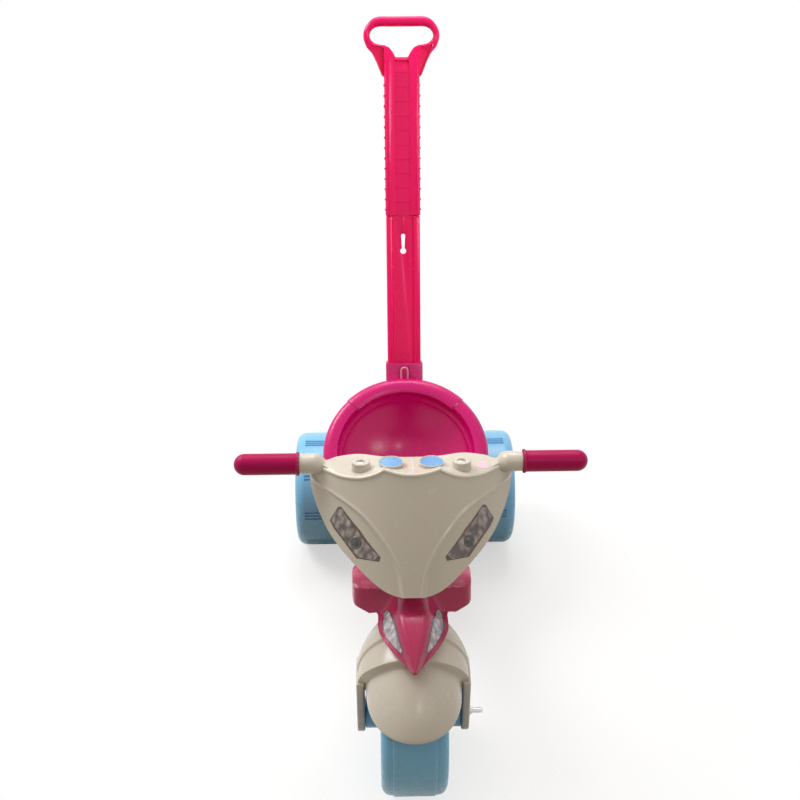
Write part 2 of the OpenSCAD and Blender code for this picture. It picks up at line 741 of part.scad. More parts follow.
// The hollow of the backrest, down to a flat floor
module seat_hollow() intersection() {
    at_bowl() translate([0, 0, dish_z]) sphere(r = dish_r, $fn = 128);
    at_bowl() translate([-2 * seat_r, -2 * seat_r, -4 * seat_r]) cube([4 * seat_r, 4 * seat_r, 4 * seat_r]);
    translate([-2 * seat_r, bowl_y - 4 * seat_r, pan_z - floor_drop])
        cube([4 * seat_r, 8 * seat_r, 4 * seat_r]);
}

module rim() at_bowl() {
    rotate_extrude($fn = 128) translate([rim_mid_r, 0]) circle(r = rim_r);
    rotate([0, 0, 90 - pad_half_angle]) rotate_extrude(angle = 2 * pad_half_angle, $fn = 128)
        translate([rim_mid_r, 0]) circle(r = rim_r + pad_proud);
}

module dish() at_bowl() intersection() {
    translate([0, 0, dish_z]) sphere(r = dish_r + seat_wall, $fn = 128);
    translate([0, 0, -2 * seat_r]) cylinder(r = rim_mid_r, h = 2 * seat_r);
}

tongue_root = tongue_top - tongue_len;
window_h = tongue_len + socket_wall / 2 + slip_gap + tongue_slot;

// The window round the latch tongue, in the socket's front wall
module tongue_window()
    translate([-tongue_w / 2 - tongue_slot, -socket_out_d / 2 - over,
            tongue_root - socket_wall / 2 - slip_gap])
        cube([tongue_w + 2 * tongue_slot, socket_wall + over, window_h]);

module seat() color(pink) difference() {
    union() {
        intersection() {
            union() {
                rim();
                dish();
            }
            above_deck();
        }
        translate([0, bowl_y, seat_base_z]) linear_extrude(height = pan_t) pan_plan();
        at_pole() translate([0, 0, socket_low - 3]) linear_extrude(height = socket_up - socket_low + 3)
            round_rect(socket_out_w, socket_out_d, 3);
        translate([-socket_in_w / 2, pole_foot[1] + (socket_low - 3) * sin(pole_tilt) - 12, seat_base_z])
            cube([socket_in_w, 26, pole_foot[2] + socket_low * cos(pole_tilt) - seat_base_z]);
    }
    seat_hollow();
    at_pole() translate([0, 0, socket_low]) linear_extrude(height = 2 * plug_depth)
        round_rect(socket_in_w, socket_in_d, 1);
    at_pole() tongue_window();
    at_rear_axle() mirrored() x_rod(rear_r + wheel_gap, base_half_w, rear_track);
    for (p = screw_places, s = [-1, 1]) translate([s * p[0], rear_axle_y + p[1], seat_base_z - over])
        cylinder(r = screw_r, h = 6.5 + over);
}

// Push pole

upper_rail = upper_w * 0.33;
lower_rail = pole_w * rail_share;
channel_w = upper_w - 2 * upper_rail;
notches = 12;

// Two round rails joined by a web that lies back from their faces
module pole_section(w, d, rail) {
    for (s = [-1, 1]) translate([s * (w - rail) / 2, 0]) round_rect(rail, d, 5);
    translate([-(w - rail) / 2, -d / 2 + recess]) square([w - rail, pole_web]);
}

module lower_pole() color(pink) at_pole() difference() {
    union() {
        translate([0, 0, socket_low + slip_gap]) linear_extrude(height = pole_joint - socket_low - slip_gap)
            pole_section(pole_w, pole_d, lower_rail);
        translate([-(pole_w - lower_rail) / 2, -pole_d / 2 + recess + 1, pole_joint - 18])
            cube([pole_w - lower_rail, pole_d - recess - 4, 18]);
        translate([-channel_w / 2 + slip_gap, -pole_d / 2 + recess + pole_web + slip_gap, pole_joint - 18])
            cube([channel_w - 2 * slip_gap, pole_d - recess - pole_web - 3, spigot_len + 18]);
    }
    translate([0, 0, keyhole_z]) rotate([90, 0, 0]) {
        cylinder(r = keyhole_r, h = 2 * pole_d, center = true);
        translate([-keyhole_slot / 2, 0, -pole_d]) cube([keyhole_slot, keyhole_len, 2 * pole_d]);
        translate([0, keyhole_len, 0]) cylinder(r = keyhole_r - 1.2, h = 2 * pole_d, center = true);
    }
}

// The loop's outline and its hand hole, as shares of the loop's half width and height
loop_keys = [[upper_w / loop_w, 0], [0.53, 0.1], [0.71, 0.33], [0.87, 0.48], [0.985, 0.6], [0.99, 0.73],
    [0.91, 0.87], [0.77, 0.96], [0.58, 1], [0, 1]];
hole_keys = [[0, 0.34], [0.16, 0.345], [0.235, 0.42], [0.31, 0.48], [0.43, 0.53], [0.63, 0.56], [0.79, 0.62],
    [0.82, 0.7], [0.75, 0.79], [0.59, 0.83], [0, 0.83]];
function loop_line(keys) = both_sides([for (k = smooth(keys, 3)) [k[0] * loop_w / 2, k[1] * loop_h]]);
rail_run = loop_h * 0.45;
panel_deep = 4;

module loop_hole() polygon(loop_line(hole_keys));

// A thin-walled panel beside the rail on one side of the neck
module neck_panel() polygon([[upper_w / 2 + 1, loop_h * 0.1], [upper_w / 2 + 1, loop_h * 0.42],
    [loop_w * 0.36, loop_h * 0.45]]);

module at_loop(front) translate([0, front, loop_z0]) rotate([90, 0, 0]) children();

module upper_pole() color(pink) at_pole() difference() {
    union() {
        translate([0, 0, pole_joint]) linear_extrude(height = upper_len + rail_run)
            pole_section(upper_w, upper_d, upper_rail);
        at_loop(loop_bar_d / 2) linear_extrude(height = loop_bar_d) polygon(loop_line(loop_keys));
    }
    at_loop(upper_d) linear_extrude(height = 2 * upper_d) loop_hole();
    for (y = [panel_deep - loop_bar_d / 2, loop_bar_d / 2 + over]) at_loop(y) mirrored()
        linear_extrude(height = panel_deep + over) neck_panel();
    for (s = [-1, 1], i = [0 : notches - 1])
        translate([s * upper_w / 2, -1, pole_joint + 30 + i * notch_step])
            cube([2 * notch_deep, upper_d - 12, notch_len], center = true);
}

// A springy tongue that stands in a window of the socket wall and turns about its root
module latch_tongue() color(pink) at_pole()
    translate([0, -socket_in_d / 2 - socket_wall / 2, tongue_root]) {
        x_rod(socket_wall / 2, -tongue_w / 2, tongue_w / 2);
        translate([-tongue_w / 2, -socket_wall / 2, 0]) cube([tongue_w, socket_wall, tongue_len - 4]);
        translate([0, socket_wall / 2, tongue_len - tongue_w / 2]) rotate([90, 0, 0])
            cylinder(r = tongue_w / 2, h = socket_wall);
    }

chassis();
seat();
seat_screws();
rear_axle();
axle_caps();
nose_decals();
steering_washer();
fork();
steering_column();
handlebar();
column_bolt();
fairing();
dash();
dash_screws();
grip_left();
grip_right();
headlight_decals();
dial_decals();
front_wheel();
front_axle();
axle_clip();
rear_wheel_left();
rear_wheel_right();
lower_pole();
upper_pole();
latch_tongue();
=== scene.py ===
"""Visible model of a toddler push along trike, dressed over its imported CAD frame."""
import json
import logging
import math
from dataclasses import dataclass
from enum import Enum
from typing import Callable, Iterable, Sequence

import bmesh
import bpy
from mathutils import Matrix, Vector


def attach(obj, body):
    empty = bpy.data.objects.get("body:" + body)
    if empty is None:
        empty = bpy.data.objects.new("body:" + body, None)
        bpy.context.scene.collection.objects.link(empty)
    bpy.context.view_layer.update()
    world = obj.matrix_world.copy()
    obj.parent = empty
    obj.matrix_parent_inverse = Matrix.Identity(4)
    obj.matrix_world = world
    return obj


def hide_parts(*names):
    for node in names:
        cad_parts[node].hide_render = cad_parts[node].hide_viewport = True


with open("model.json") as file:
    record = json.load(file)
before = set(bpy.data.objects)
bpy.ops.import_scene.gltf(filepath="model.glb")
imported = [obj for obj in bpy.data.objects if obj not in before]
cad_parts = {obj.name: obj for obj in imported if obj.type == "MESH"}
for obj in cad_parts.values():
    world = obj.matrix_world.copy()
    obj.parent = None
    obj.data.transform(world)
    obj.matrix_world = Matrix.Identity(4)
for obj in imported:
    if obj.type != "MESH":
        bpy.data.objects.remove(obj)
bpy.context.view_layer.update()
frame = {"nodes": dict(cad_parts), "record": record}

LOG = logging.getLogger("trike")
MM = 0.001

Colour = tuple[float, float, float]
Pair = tuple[float, float]
Edges = list[bmesh.types.BMEdge]
Element = bmesh.types.BMVert | bmesh.types.BMEdge | bmesh.types.BMFace
Socket = bpy.types.NodeSocket


class Body(str, Enum):
    """The rigid bodies that pieces ride on."""

    FRAME = "frame"
    STEERING = "steering"
    FRONT_WHEEL = "steered_wheel"
    LEFT_WHEEL = "left_rear_wheel"
    RIGHT_WHEEL = "right_rear_wheel"
    POLE = "push_pole"
    LATCH = "latch"


class Slot(str, Enum):
    """The record's material slots."""

    BODY_PINK = "body_pink"
    SEAT_PINK = "seat_pink"
    POLE_PINK = "pole_pink"
    GRIP_PINK = "grip_pink"
    CREAM = "cream"
    TYRE_BLUE = "tyre_blue"
    STEEL = "steel"
    NYLON = "nylon"
    LAMP_PRINT = "lamp_print"
    DIAL_PRINT = "dial_print"


class Print(Enum):
    """The patterns that the printed films carry."""

    REFLECTOR = "reflector"
    SURROUND = "surround"
    LENS = "lens"
    PLAIN = "plain"


class Axis(Enum):
    """The axes that a turned form can be spun about."""

    X = (1.0, 0.0, 0.0)
    Z = (0.0, 0.0, 1.0)


def lerp(a: float, b: float, t: float) -> float:
    """Blend two numbers.

    Args:
        a: The value at t = 0.
        b: The value at t = 1.
        t: The share of b.

    Returns:
        The value between them.
    """
    return a + (b - a) * t


def ease(t: float) -> float:
    """Turn a share into one that starts and ends gently.

    Args:
        t: Any number; it is held between 0 and 1.

    Returns:
        The eased share.
    """
    t = min(max(t, 0.0), 1.0)
    return t * t * (3.0 - 2.0 * t)


def hump(x: float, middle: float, width: float) -> float:
    """Give a smooth bump of height one.

    Args:
        x: Where it is read.
        middle: Where it is highest.
        width: How far from the middle it has fallen to about a third.

    Returns:
        The height there.
    """
    return math.exp(-(((x - middle) / width) ** 2))


def curve_at(keys: Sequence[Sequence[float]], place: float) -> list[float]:
    """Read a smooth curve that passes through every key.

    Args:
        keys: Rows of numbers, one row for each key.
        place: A key's index, or a share of the way on to the next one.

    Returns:
        One row of numbers.
    """
    last = len(keys) - 1
    i = min(max(int(math.floor(place)), 0), last - 1)
    t = place - i
    a, b = keys[max(i - 1, 0)], keys[i]
    c, d = keys[i + 1], keys[min(i + 2, last)]
    return [0.5 * (2 * q + (r - p) * t + (2 * p - 5 * q + 4 * r - s) * t * t
                   + (3 * q - p - 3 * r + s) * t ** 3) for p, q, r, s in zip(a, b, c, d)]


def curve(keys: Sequence[Sequence[float]], steps: int) -> list[list[float]]:
    """Sample a smooth curve through every key.

    Args:
        keys: Rows of numbers, one row for each key.
        steps: Samples from one key to the next.

    Returns:
        The sampled rows, ends included.
    """
    return [curve_at(keys, k / steps) for k in range((len(keys) - 1) * steps + 1)]


def read(keys: Sequence[Pair], place: float) -> float:
    """Read a smooth curve of one value over another.

    Args:
        keys: Pairs of place and value, with rising places.
        place: Where it is read.

    Returns:
        The value there.
    """
    last = len(keys) - 1
    place = min(max(place, keys[0][0]), keys[last][0])
    i = next(k for k in range(last) if place <= keys[k + 1][0])
    slopes = []
    for k in (i, i + 1):
        before, after = keys[max(k - 1, 0)], keys[min(k + 1, last)]
        slopes.append((after[1] - before[1]) / (after[0] - before[0]))
    span = keys[i + 1][0] - keys[i][0]
    t = (place - keys[i][0]) / span
    straight = lerp(keys[i][1], keys[i + 1][1], t * t * (3.0 - 2.0 * t))
    return straight + span * t * (1.0 - t) * ((1.0 - t) * slopes[0] - t * slopes[1])


def placed(degrees: float, origin: Sequence[float]) -> Matrix:
    """Make a frame turned about the trike's cross axis.

    Args:
        degrees: The turn about x.
        origin: Where the frame's origin lies, in millimetres.

    Returns:
        The frame as a matrix.
    """
    return Matrix.Translation(Vector(origin)) @ Matrix.Rotation(math.radians(degrees), 4, "X")


class Graph:
    """A material's node tree, with the few steps that the finishes share."""

    def __init__(self, name: str) -> None:
        """Start an empty material.

        Args:
            name: The material's name.
        """
        self.material = bpy.data.materials.new(name)
        self.material.use_nodes = True
        self.tree = self.material.node_tree
        self.shader = self.tree.nodes["Principled BSDF"]
        self.place = self.tree.nodes.new("ShaderNodeTexCoord").outputs["Object"]

    def put(self, socket: Socket, value: Socket | float | Sequence[float]) -> None:
        """Link or set one input.

        Args:
            socket: The input.
            value: An output to link, or the constant to set.
        """
        if isinstance(value, bpy.types.NodeSocket):
            self.tree.links.new(value, socket)
        else:
            socket.default_value = value

    def set(self, **values: Socket | float | Sequence[float]) -> None:
        """Link or set inputs of the material's shader.

        Args:
            **values: Inputs by name, with underscores for spaces.
        """
        for name, value in values.items():
            self.put(self.shader.inputs[name.replace("_", " ")], value)

    def stretched(self, scale: Sequence[float], turn: float = 0.0) -> Socket:
        """Stretch the object's coordinates.

        Args:
            scale: The factors along x, y and z.
            turn: A turn about x, in degrees, before they apply.

        Returns:
            The stretched coordinates.
        """
        node = self.tree.nodes.new("ShaderNodeMapping")
        self.put(node.inputs["Vector"], self.place)
        node.inputs["Rotation"].default_value = (math.radians(turn), 0.0, 0.0)
        node.inputs["Scale"].default_value = scale
        return node.outputs["Vector"]

    def noise(self, scale: float, detail: float = 2.0, place: Socket | None = None,
              distortion: float = 0.0) -> Socket:
        """Add soft noise.

        Args:
            scale: Its scale in the object's metres.
            detail: How much finer noise is laid over it.
            place: Coordinates other than the object's own.
            distortion: How far it is stirred.

        Returns:
            The noise's value, about 0.3 to 0.7.
        """
        node = self.tree.nodes.new("ShaderNodeTexNoise")
        self.put(node.inputs["Vector"], place or self.place)
        node.inputs["Scale"].default_value = scale
        node.inputs["Detail"].default_value = detail
        node.inputs["Distortion"].default_value = distortion
        return node.outputs["Fac"]

    def ranged(self, value: Socket, source: Pair, target: Pair) -> Socket:
        """Map one range of values on to another.

        Args:
            value: What is mapped.
            source: Its lowest and highest value.
            target: What they become.

        Returns:
            The mapped value.
        """
        node = self.tree.nodes.new("ShaderNodeMapRange")
        self.put(node.inputs["Value"], value)
        for name, number in zip(("From Min", "From Max", "To Min", "To Max"), source + target):
            node.inputs[name].default_value = number
        return node.outputs["Result"]

    def maths(self, operation: str, a: Socket | float, b: Socket | float = 0.0) -> Socket:
        """Join two values by arithmetic.

        Args:
            operation: The kind of arithmetic.
            a: The first value.
            b: The second value.

        Returns:
            The outcome.
        """
        node = self.tree.nodes.new("ShaderNodeMath")
        node.operation = operation
        self.put(node.inputs[0], a)
        self.put(node.inputs[1], b)
        return node.outputs["Value"]

    def mixed(self, share: Socket | float, a: Socket | Colour, b: Socket | Colour) -> Socket:
        """Mix two colours.

        Args:
            share: The share of the second one.
            a: The first colour.
            b: The second colour.

        Returns:
            The mixed colour.
        """
        node = self.tree.nodes.new("ShaderNodeMix")
        node.data_type = "RGBA"
        self.put(node.inputs[0], share)
        for place, colour in ((6, a), (7, b)):
            linked = isinstance(colour, bpy.types.NodeSocket)
            self.put(node.inputs[place], colour if linked else (*colour, 1.0))
        return node.outputs[2]

    def bump(self, height: Socket, distance: float, strength: float = 1.0,
             normal: Socket | None = None) -> Socket:
        """Turn a height into small dents of the surface.

        Args:
            height: The height, from 0 to 1.
            distance: What a height of one stands for, in metres.
            strength: How strongly it shows.
            normal: Dents that lie under these.

        Returns:
            The dented normal.
        """
        node = self.tree.nodes.new("ShaderNodeBump")
        self.put(node.inputs["Height"], height)
        node.inputs["Distance"].default_value = distance
        node.inputs["Strength"].default_value = strength
        if normal is not None:
            self.put(node.inputs["Normal"], normal)
        return node.outputs["Normal"]

    def radius(self, centre: Vector) -> Socket:
        """Measure the distance from an axis that runs along x.

        Args:
            centre: A point of the axis, in metres.

        Returns:
            The distance, in metres.
        """
        parts = self.tree.nodes.new("ShaderNodeSeparateXYZ")
        self.put(parts.inputs[0], self.place)
        y = self.maths("SUBTRACT", parts.outputs["Y"], centre.y)
        z = self.maths("SUBTRACT", parts.outputs["Z"], centre.z)
        squares = self.maths("ADD", self.maths("MULTIPLY", y, y), self.maths("MULTIPLY", z, z))
        return self.maths("SQRT", squares)

    def pointed(self) -> Socket:
        """Find the edges that stand out.

        Returns:
            How pointed the surface is, about 0.5 where it is flat.
        """
        return self.tree.nodes.new("ShaderNodeNewGeometry").outputs["Pointiness"]


@dataclass(frozen=True)
class Finish:
    """What every finish has: a name and the record's slot that it fills."""

    name: str
    slot: Slot

    def lay(self, graph: Graph) -> None:
        """Set up the material's nodes.

        Args:
            graph: The material being made.
        """
        raise NotImplementedError

    def material(self) -> bpy.types.Material:
        """Make the material once and share it after that.

        Returns:
            The material.
        """
        if self.name not in bpy.data.materials:
            self.lay(Graph(self.name))
        return bpy.data.materials[self.name]


@dataclass(frozen=True)
class Plastic(Finish):
    """A moulded plastic: its pigment is slightly uneven and its skin slightly wavy."""

    colour: Colour
    roughness: float = 0.3
    mottle: float = 0.03
    peel: float = 0.00002
    wave: float = 0.0004
    # How much paler the pointed edges get: partly rub wear, partly painted highlight
    rub_and_highlight: float = 0.25
    glow: float = 0.0
    turn: float = 0.0
    sheen: float = 0.5

    def tone(self, factor: float, lift: float = 0.0) -> Colour:
        """Darken or lighten the pigment.

        Args:
            factor: What the colour is multiplied by.
            lift: What is added to every channel.

        Returns:
            The changed colour.
        """
        return tuple(min(c * factor + lift, 1.0) for c in self.colour)

    def pigment(self, graph: Graph) -> Socket:
        """Lay out the colour: cloudy pigment, flow lines, and paler pointed edges that are partly rub wear
        and partly painted highlight.

        Args:
            graph: The material being made.

        Returns:
            The colour.
        """
        cloud = graph.ranged(graph.noise(14.0, 4.0, distortion=0.6), (0.32, 0.68), (0.0, 1.0))
        base = graph.mixed(cloud, self.tone(1.0 - self.mottle), self.tone(1.0 + self.mottle))
        flow = graph.noise(1.0, 3.0, graph.stretched((30.0, 30.0, 4.0), self.turn), 0.4)
        lines = graph.ranged(flow, (0.52, 0.72), (0.0, self.mottle))
        base = graph.mixed(lines, base, self.tone(0.7))
        speck = graph.ranged(graph.noise(1700.0, 1.0), (0.62, 0.78), (0.0, self.mottle))
        base = graph.mixed(speck, base, self.tone(1.1, 0.12))
        # Paler pointed edges: partly rub wear, partly a painted highlight along edges that catch the light
        edge = graph.ranged(graph.pointed(), (0.53, 0.6), (0.0, self.rub_and_highlight))
        return graph.mixed(edge, base, self.tone(1.05, 0.1))

    def lay(self, graph: Graph) -> None:
        """Set up the material's nodes.

        Args:
            graph: The material being made.
        """
        graph.set(Base_Color=self.pigment(graph), IOR=1.5, Specular_IOR_Level=self.sheen)
        dull = (self.roughness - 0.05, self.roughness + 0.07)
        smear = graph.ranged(graph.noise(46.0, 3.0), (0.3, 0.7), dull)
        scratch = graph.noise(1.0, 2.0, graph.stretched((900.0, 60.0, 120.0), 24.0))
        fine = graph.ranged(scratch, (0.6, 0.75), (0.0, 0.08))
        skin = graph.bump(graph.noise(950.0, 1.0), self.peel, 0.5)
        graph.set(Roughness=graph.maths("ADD", smear, fine),
                  Normal=graph.bump(graph.noise(17.0, 1.0), self.wave, 0.6, skin))
        if self.glow:
            graph.set(Subsurface_Weight=self.glow, Subsurface_Scale=0.004, Subsurface_Radius=(1.0, 0.6, 0.5))


@dataclass(frozen=True)
class TyrePlastic(Plastic):
    """A wheel's plastic, dulled and dusty where it rolls."""

    centre: Vector = Vector((0.0, 0.0, 0.0))
    tread: float = 0.1

    def pigment(self, graph: Graph) -> Socket:
        """Dust the tread.

        Args:
            graph: The material being made.

        Returns:
            The colour.
        """
        edge = (self.tread - 0.004, self.tread - 0.0004)
        reach = graph.ranged(graph.radius(self.centre), edge, (0.0, 1.0))
        patch = graph.ranged(graph.noise(70.0, 5.0), (0.4, 0.7), (0.0, 0.04))
        dust = graph.maths("MULTIPLY", reach, patch)
        return graph.mixed(dust, super().pigment(graph), (0.42, 0.5, 0.55))


@dataclass(frozen=True)
class Steel(Finish):
    """Bright zinc-plated steel with fine turning marks."""

    colour: Colour = (0.62, 0.62, 0.6)
    roughness: float = 0.28

    def lay(self, graph: Graph) -> None:
        """Set up the material's nodes.

        Args:
            graph: The material being made.
        """
        marks = graph.noise(1.0, 2.0, graph.stretched((2600.0, 160.0, 160.0)))
        bloom = graph.ranged(graph.noise(160.0, 4.0), (0.35, 0.7), (0.0, 0.55))
        dull = (self.roughness - 0.08, self.roughness + 0.14)
        graph.set(Base_Color=graph.mixed(bloom, self.colour, (0.45, 0.44, 0.4)), Metallic=1.0,
                  Roughness=graph.ranged(marks, (0.3, 0.7), dull), Normal=graph.bump(marks, 0.00002, 0.4))


@dataclass(frozen=True)
class Film(Finish):
    """A printed sticker film under clear varnish."""

    ink: Colour
    second: Colour
    pattern: Print
    roughness: float = 0.22

    def artwork(self, graph: Graph) -> Socket:
        """Print the pattern.

        Args:
            graph: The material being made.

        Returns:
            The colour.
        """
        if self.pattern is Print.REFLECTOR:
            cells = graph.tree.nodes.new("ShaderNodeTexVoronoi")
            graph.put(cells.inputs["Vector"], graph.stretched((1.0, 1.0, 0.45), 30.0))
            cells.inputs["Scale"].default_value = 150.0
            cut = graph.ranged(cells.outputs["Distance"], (0.1, 0.75), (0.0, 1.0))
            shade = graph.mixed(cut, self.ink, self.second)
            dark = graph.ranged(graph.noise(95.0, 3.0, distortion=1.2), (0.52, 0.66), (0.0, 0.4))
            return graph.mixed(dark, shade, tuple(c * 0.25 for c in self.second))
        if self.pattern is Print.LENS:
            rings = graph.ranged(graph.noise(420.0, 2.0), (0.4, 0.65), (0.0, 1.0))
            return graph.mixed(rings, self.ink, self.second)
        scale = 230.0 if self.pattern is Print.SURROUND else 30.0
        spots = graph.ranged(graph.noise(scale, 4.0), (0.42, 0.68), (0.0, 0.8))
        return graph.mixed(spots, self.ink, self.second)

    def lay(self, graph: Graph) -> None:
        """Set up the material's nodes.

        Args:
            graph: The material being made.
        """
        dull = (self.roughness, self.roughness + 0.16)
        graph.set(Base_Color=self.artwork(graph), Coat_Weight=0.25, Coat_Roughness=0.12,
                  Roughness=graph.ranged(graph.noise(240.0, 3.0), (0.35, 0.65), dull),
                  Normal=graph.bump(graph.noise(330.0, 2.0), 0.00005, 0.5))


BODY_PINK = Plastic("nose pink plastic", Slot.BODY_PINK, (0.45, 0.025, 0.1), 0.24, glow=0.06, sheen=0.36)
# Seat pink: the seat's hot pink, set darker than the pole's as painted shade for the shaded inside of the
# bowl
SEAT_PINK = Plastic("seat pink plastic", Slot.SEAT_PINK, (0.6, 0.001, 0.16), 0.25, glow=0.06, turn=38.0,
                    sheen=0.38)
# Painted highlight: a lighter pink for the latch tongue's raised border, standing for the light it catches
HIGHLIGHT_PINK = Plastic("painted highlight pink plastic", Slot.SEAT_PINK, (0.86, 0.26, 0.43), 0.3, glow=0.05, sheen=0.4)
POLE_PINK = Plastic("pole pink plastic", Slot.POLE_PINK, (0.93, 0.001, 0.14), 0.22, rub_and_highlight=0.1, glow=0.05,
                    turn=23.5, sheen=0.24)
GRIP_PINK = Plastic("grip pink plastic", Slot.GRIP_PINK, (0.4, 0.001, 0.08), 0.34, peel=0.00005, sheen=0.15)
CREAM = Plastic("cream plastic", Slot.CREAM, (0.61, 0.56, 0.48), 0.22, mottle=0.02, rub_and_highlight=0.1, glow=0.08)
NYLON = Plastic("nylon", Slot.NYLON, (0.8, 0.79, 0.74), 0.42, mottle=0.04)
STEEL = Steel("plated steel", Slot.STEEL)
REFLECTOR = Film("lamp reflector print", Slot.LAMP_PRINT, (0.5, 0.45, 0.43), (0.13, 0.1, 0.095),
                 Print.REFLECTOR)
SURROUND = Film("lamp surround print", Slot.LAMP_PRINT, (0.09, 0.055, 0.045), (0.18, 0.12, 0.1),
                Print.SURROUND)
LENS = Film("lamp lens print", Slot.LAMP_PRINT, (0.02, 0.028, 0.024), (0.1, 0.11, 0.1), Print.LENS)
EYE = Film("nose lamp print", Slot.LAMP_PRINT, (0.72, 0.7, 0.73), (0.28, 0.24, 0.28), Print.REFLECTOR)
EYE_RIM = Film("nose lamp rim print", Slot.LAMP_PRINT, (0.11, 0.03, 0.075), (0.2, 0.07, 0.13), Print.SURROUND)
DIAL = Film("dial print", Slot.DIAL_PRINT, (0.12, 0.33, 0.66), (0.2, 0.46, 0.72), Print.PLAIN)
SPOT = Film("pink spot print", Slot.DIAL_PRINT, (0.75, 0.5, 0.6), (0.78, 0.6, 0.68), Print.PLAIN)


def picked(items: Iterable[Element], kind: type) -> list[Element]:
    """Pick one kind of element out of what an operator made.

    Args:
        items: The elements.
        kind: The kind that is wanted.

    Returns:
        The elements of that kind.
    """
    return [item for item in items if isinstance(item, kind)]


class Form:
    """A mesh under construction, in millimetres."""

    def __init__(self) -> None:
        """Start with nothing."""
        self.bm = bmesh.new()
        self.order = self.bm.verts.layers.int.new("order")

    def ring(self, points: Sequence[Vector]) -> Edges:
        """Start an empty form from a closed ring.

        Args:
            points: Where its vertices lie, in order.

        Returns:
            The ring's edges.
        """
        verts = bmesh.ops.create_circle(self.bm, cap_ends=False, radius=1.0, segments=len(points))["verts"]
        for place, vert in enumerate(verts):
            vert[self.order] = place
            vert.co = points[place]
        return self.bm.edges[:]

    def advance(self, edges: Edges, points: Sequence[Vector]) -> Edges:
        """Extrude a ring on to new places.

        Args:
            edges: The ring so far.
            points: Where its vertices lie next, in the same order.

        Returns:
            The new ring's edges.
        """
        made = bmesh.ops.extrude_edge_only(self.bm, edges=edges)["geom"]
        verts = set(picked(made, bmesh.types.BMVert))
        for vert in verts:
            vert.co = points[vert[self.order]]
        return [edge for edge in picked(made, bmesh.types.BMEdge) if set(edge.verts) <= verts]

    def loft(self, rings: Sequence[Sequence[Vector]], caps: bool = True, closed: bool = False) -> "Form":
        """Skin over rings that have as many points each.

        Args:
            rings: The rings, in order.
            caps: Whether the two end rings are filled.
            closed: Whether the last ring joins the first one.

        Returns:
            This form.
        """
        first = edges = self.ring(rings[0])
        for points in rings[1:]:
            edges = self.advance(edges, points)
        if closed:
            self.advance(edges, rings[0])
        elif caps:
            for loop in (first, edges):
                bmesh.ops.contextual_create(self.bm, geom=loop)
        bmesh.ops.remove_doubles(self.bm, verts=self.bm.verts, dist=1e-4)
        return self

    def sheet(self, across: int, along: int, place: Callable[[int, int], Vector]) -> "Form":
        """Lay a grid of faces over a surface, looking to the side of the cross product of across and along.

        Args:
            across: Cells from side to side.
            along: Cells from end to end.
            place: Gives the place of a grid point from its two counts.

        Returns:
            This form.
        """
        verts = bmesh.ops.create_grid(self.bm, x_segments=across, y_segments=along, size=1.0)["verts"]
        for vert in verts:
            i = round((vert.co.x + 1.0) / 2.0 * across)
            j = round((vert.co.y + 1.0) / 2.0 * along)
            vert.co = place(i, j)
        return self

    def wire(self, points: Sequence[Vector], rounding: float = 0.0, segments: int = 3,
             close: bool = False) -> "Form":
        """Draw a bent line and round its corners.

        Args:
            points: Its corners.
            rounding: How far a round corner reaches from its point.
            segments: Edges of a round corner.
            close: Whether the last corner joins the first one.

        Returns:
            This form.
        """
        verts = [self.bm.verts.new(point) for point in points]
        for a, b in zip(verts, verts[1:] + (verts[:1] if close else [])):
            self.bm.edges.new((a, b))
        if rounding:
            bmesh.ops.bevel(self.bm, geom=verts if close else verts[1:-1], offset=rounding,
                            offset_type="OFFSET", segments=segments, profile=0.5, affect="VERTICES",
                            material=-1, clamp_overlap=True)
        return self

    def spin(self, axis: Axis, steps: int) -> "Form":
        """Turn the drawn line once round an axis through the origin.

        Args:
            axis: The axis.
            steps: Faces round the turn.

        Returns:
            This form.
        """
        bmesh.ops.spin(self.bm, geom=self.bm.verts[:] + self.bm.edges[:], cent=(0, 0, 0), axis=axis.value,
                       dvec=(0, 0, 0), angle=math.tau, steps=steps, use_merge=True,
                       use_normal_flip=False, use_duplicate=False)
        bmesh.ops.remove_doubles(self.bm, verts=self.bm.verts, dist=1e-3)
        return self

    def lathe(self, pairs: Sequence[Pair], axis: Axis, steps: int, rounding: float = 0.0,
              segments: int = 3, close: bool = False) -> "Form":
        """Draw a profile and turn it once round an axis.

        Args:
            pairs: The profile's corners as pairs of x and z.
            axis: The axis.
            steps: Faces round the turn.
            rounding: How far a round corner reaches from its point.
            segments: Edges of a round corner.
            close: Whether the last corner joins the first one.

        Returns:
            This form.
        """
        return self.wire([Vector((x, 0.0, z)) for x, z in pairs], rounding, segments, close).spin(axis, steps)

    def slab(self, depth: Vector) -> "Form":
        """Fill the drawn outline and pull it out into a slab.

        Args:
            depth: How far and which way it is pulled.

        Returns:
            This form.
        """
        bmesh.ops.contextual_create(self.bm, geom=self.bm.edges[:])
        made = bmesh.ops.extrude_face_region(self.bm, geom=self.bm.faces[:], use_keep_orig=True)["geom"]
        bmesh.ops.translate(self.bm, verts=picked(made, bmesh.types.BMVert), vec=depth)
        return self

    def thicken(self, wall: float) -> "Form":
        """Give a sheet a wall behind the side that its faces look to.

        Args:
            wall: How thick the wall is.

        Returns:
            This form.
        """
        self.bm.normal_update()
        bmesh.ops.solidify(self.bm, geom=self.bm.faces[:], thickness=wall)
        return self

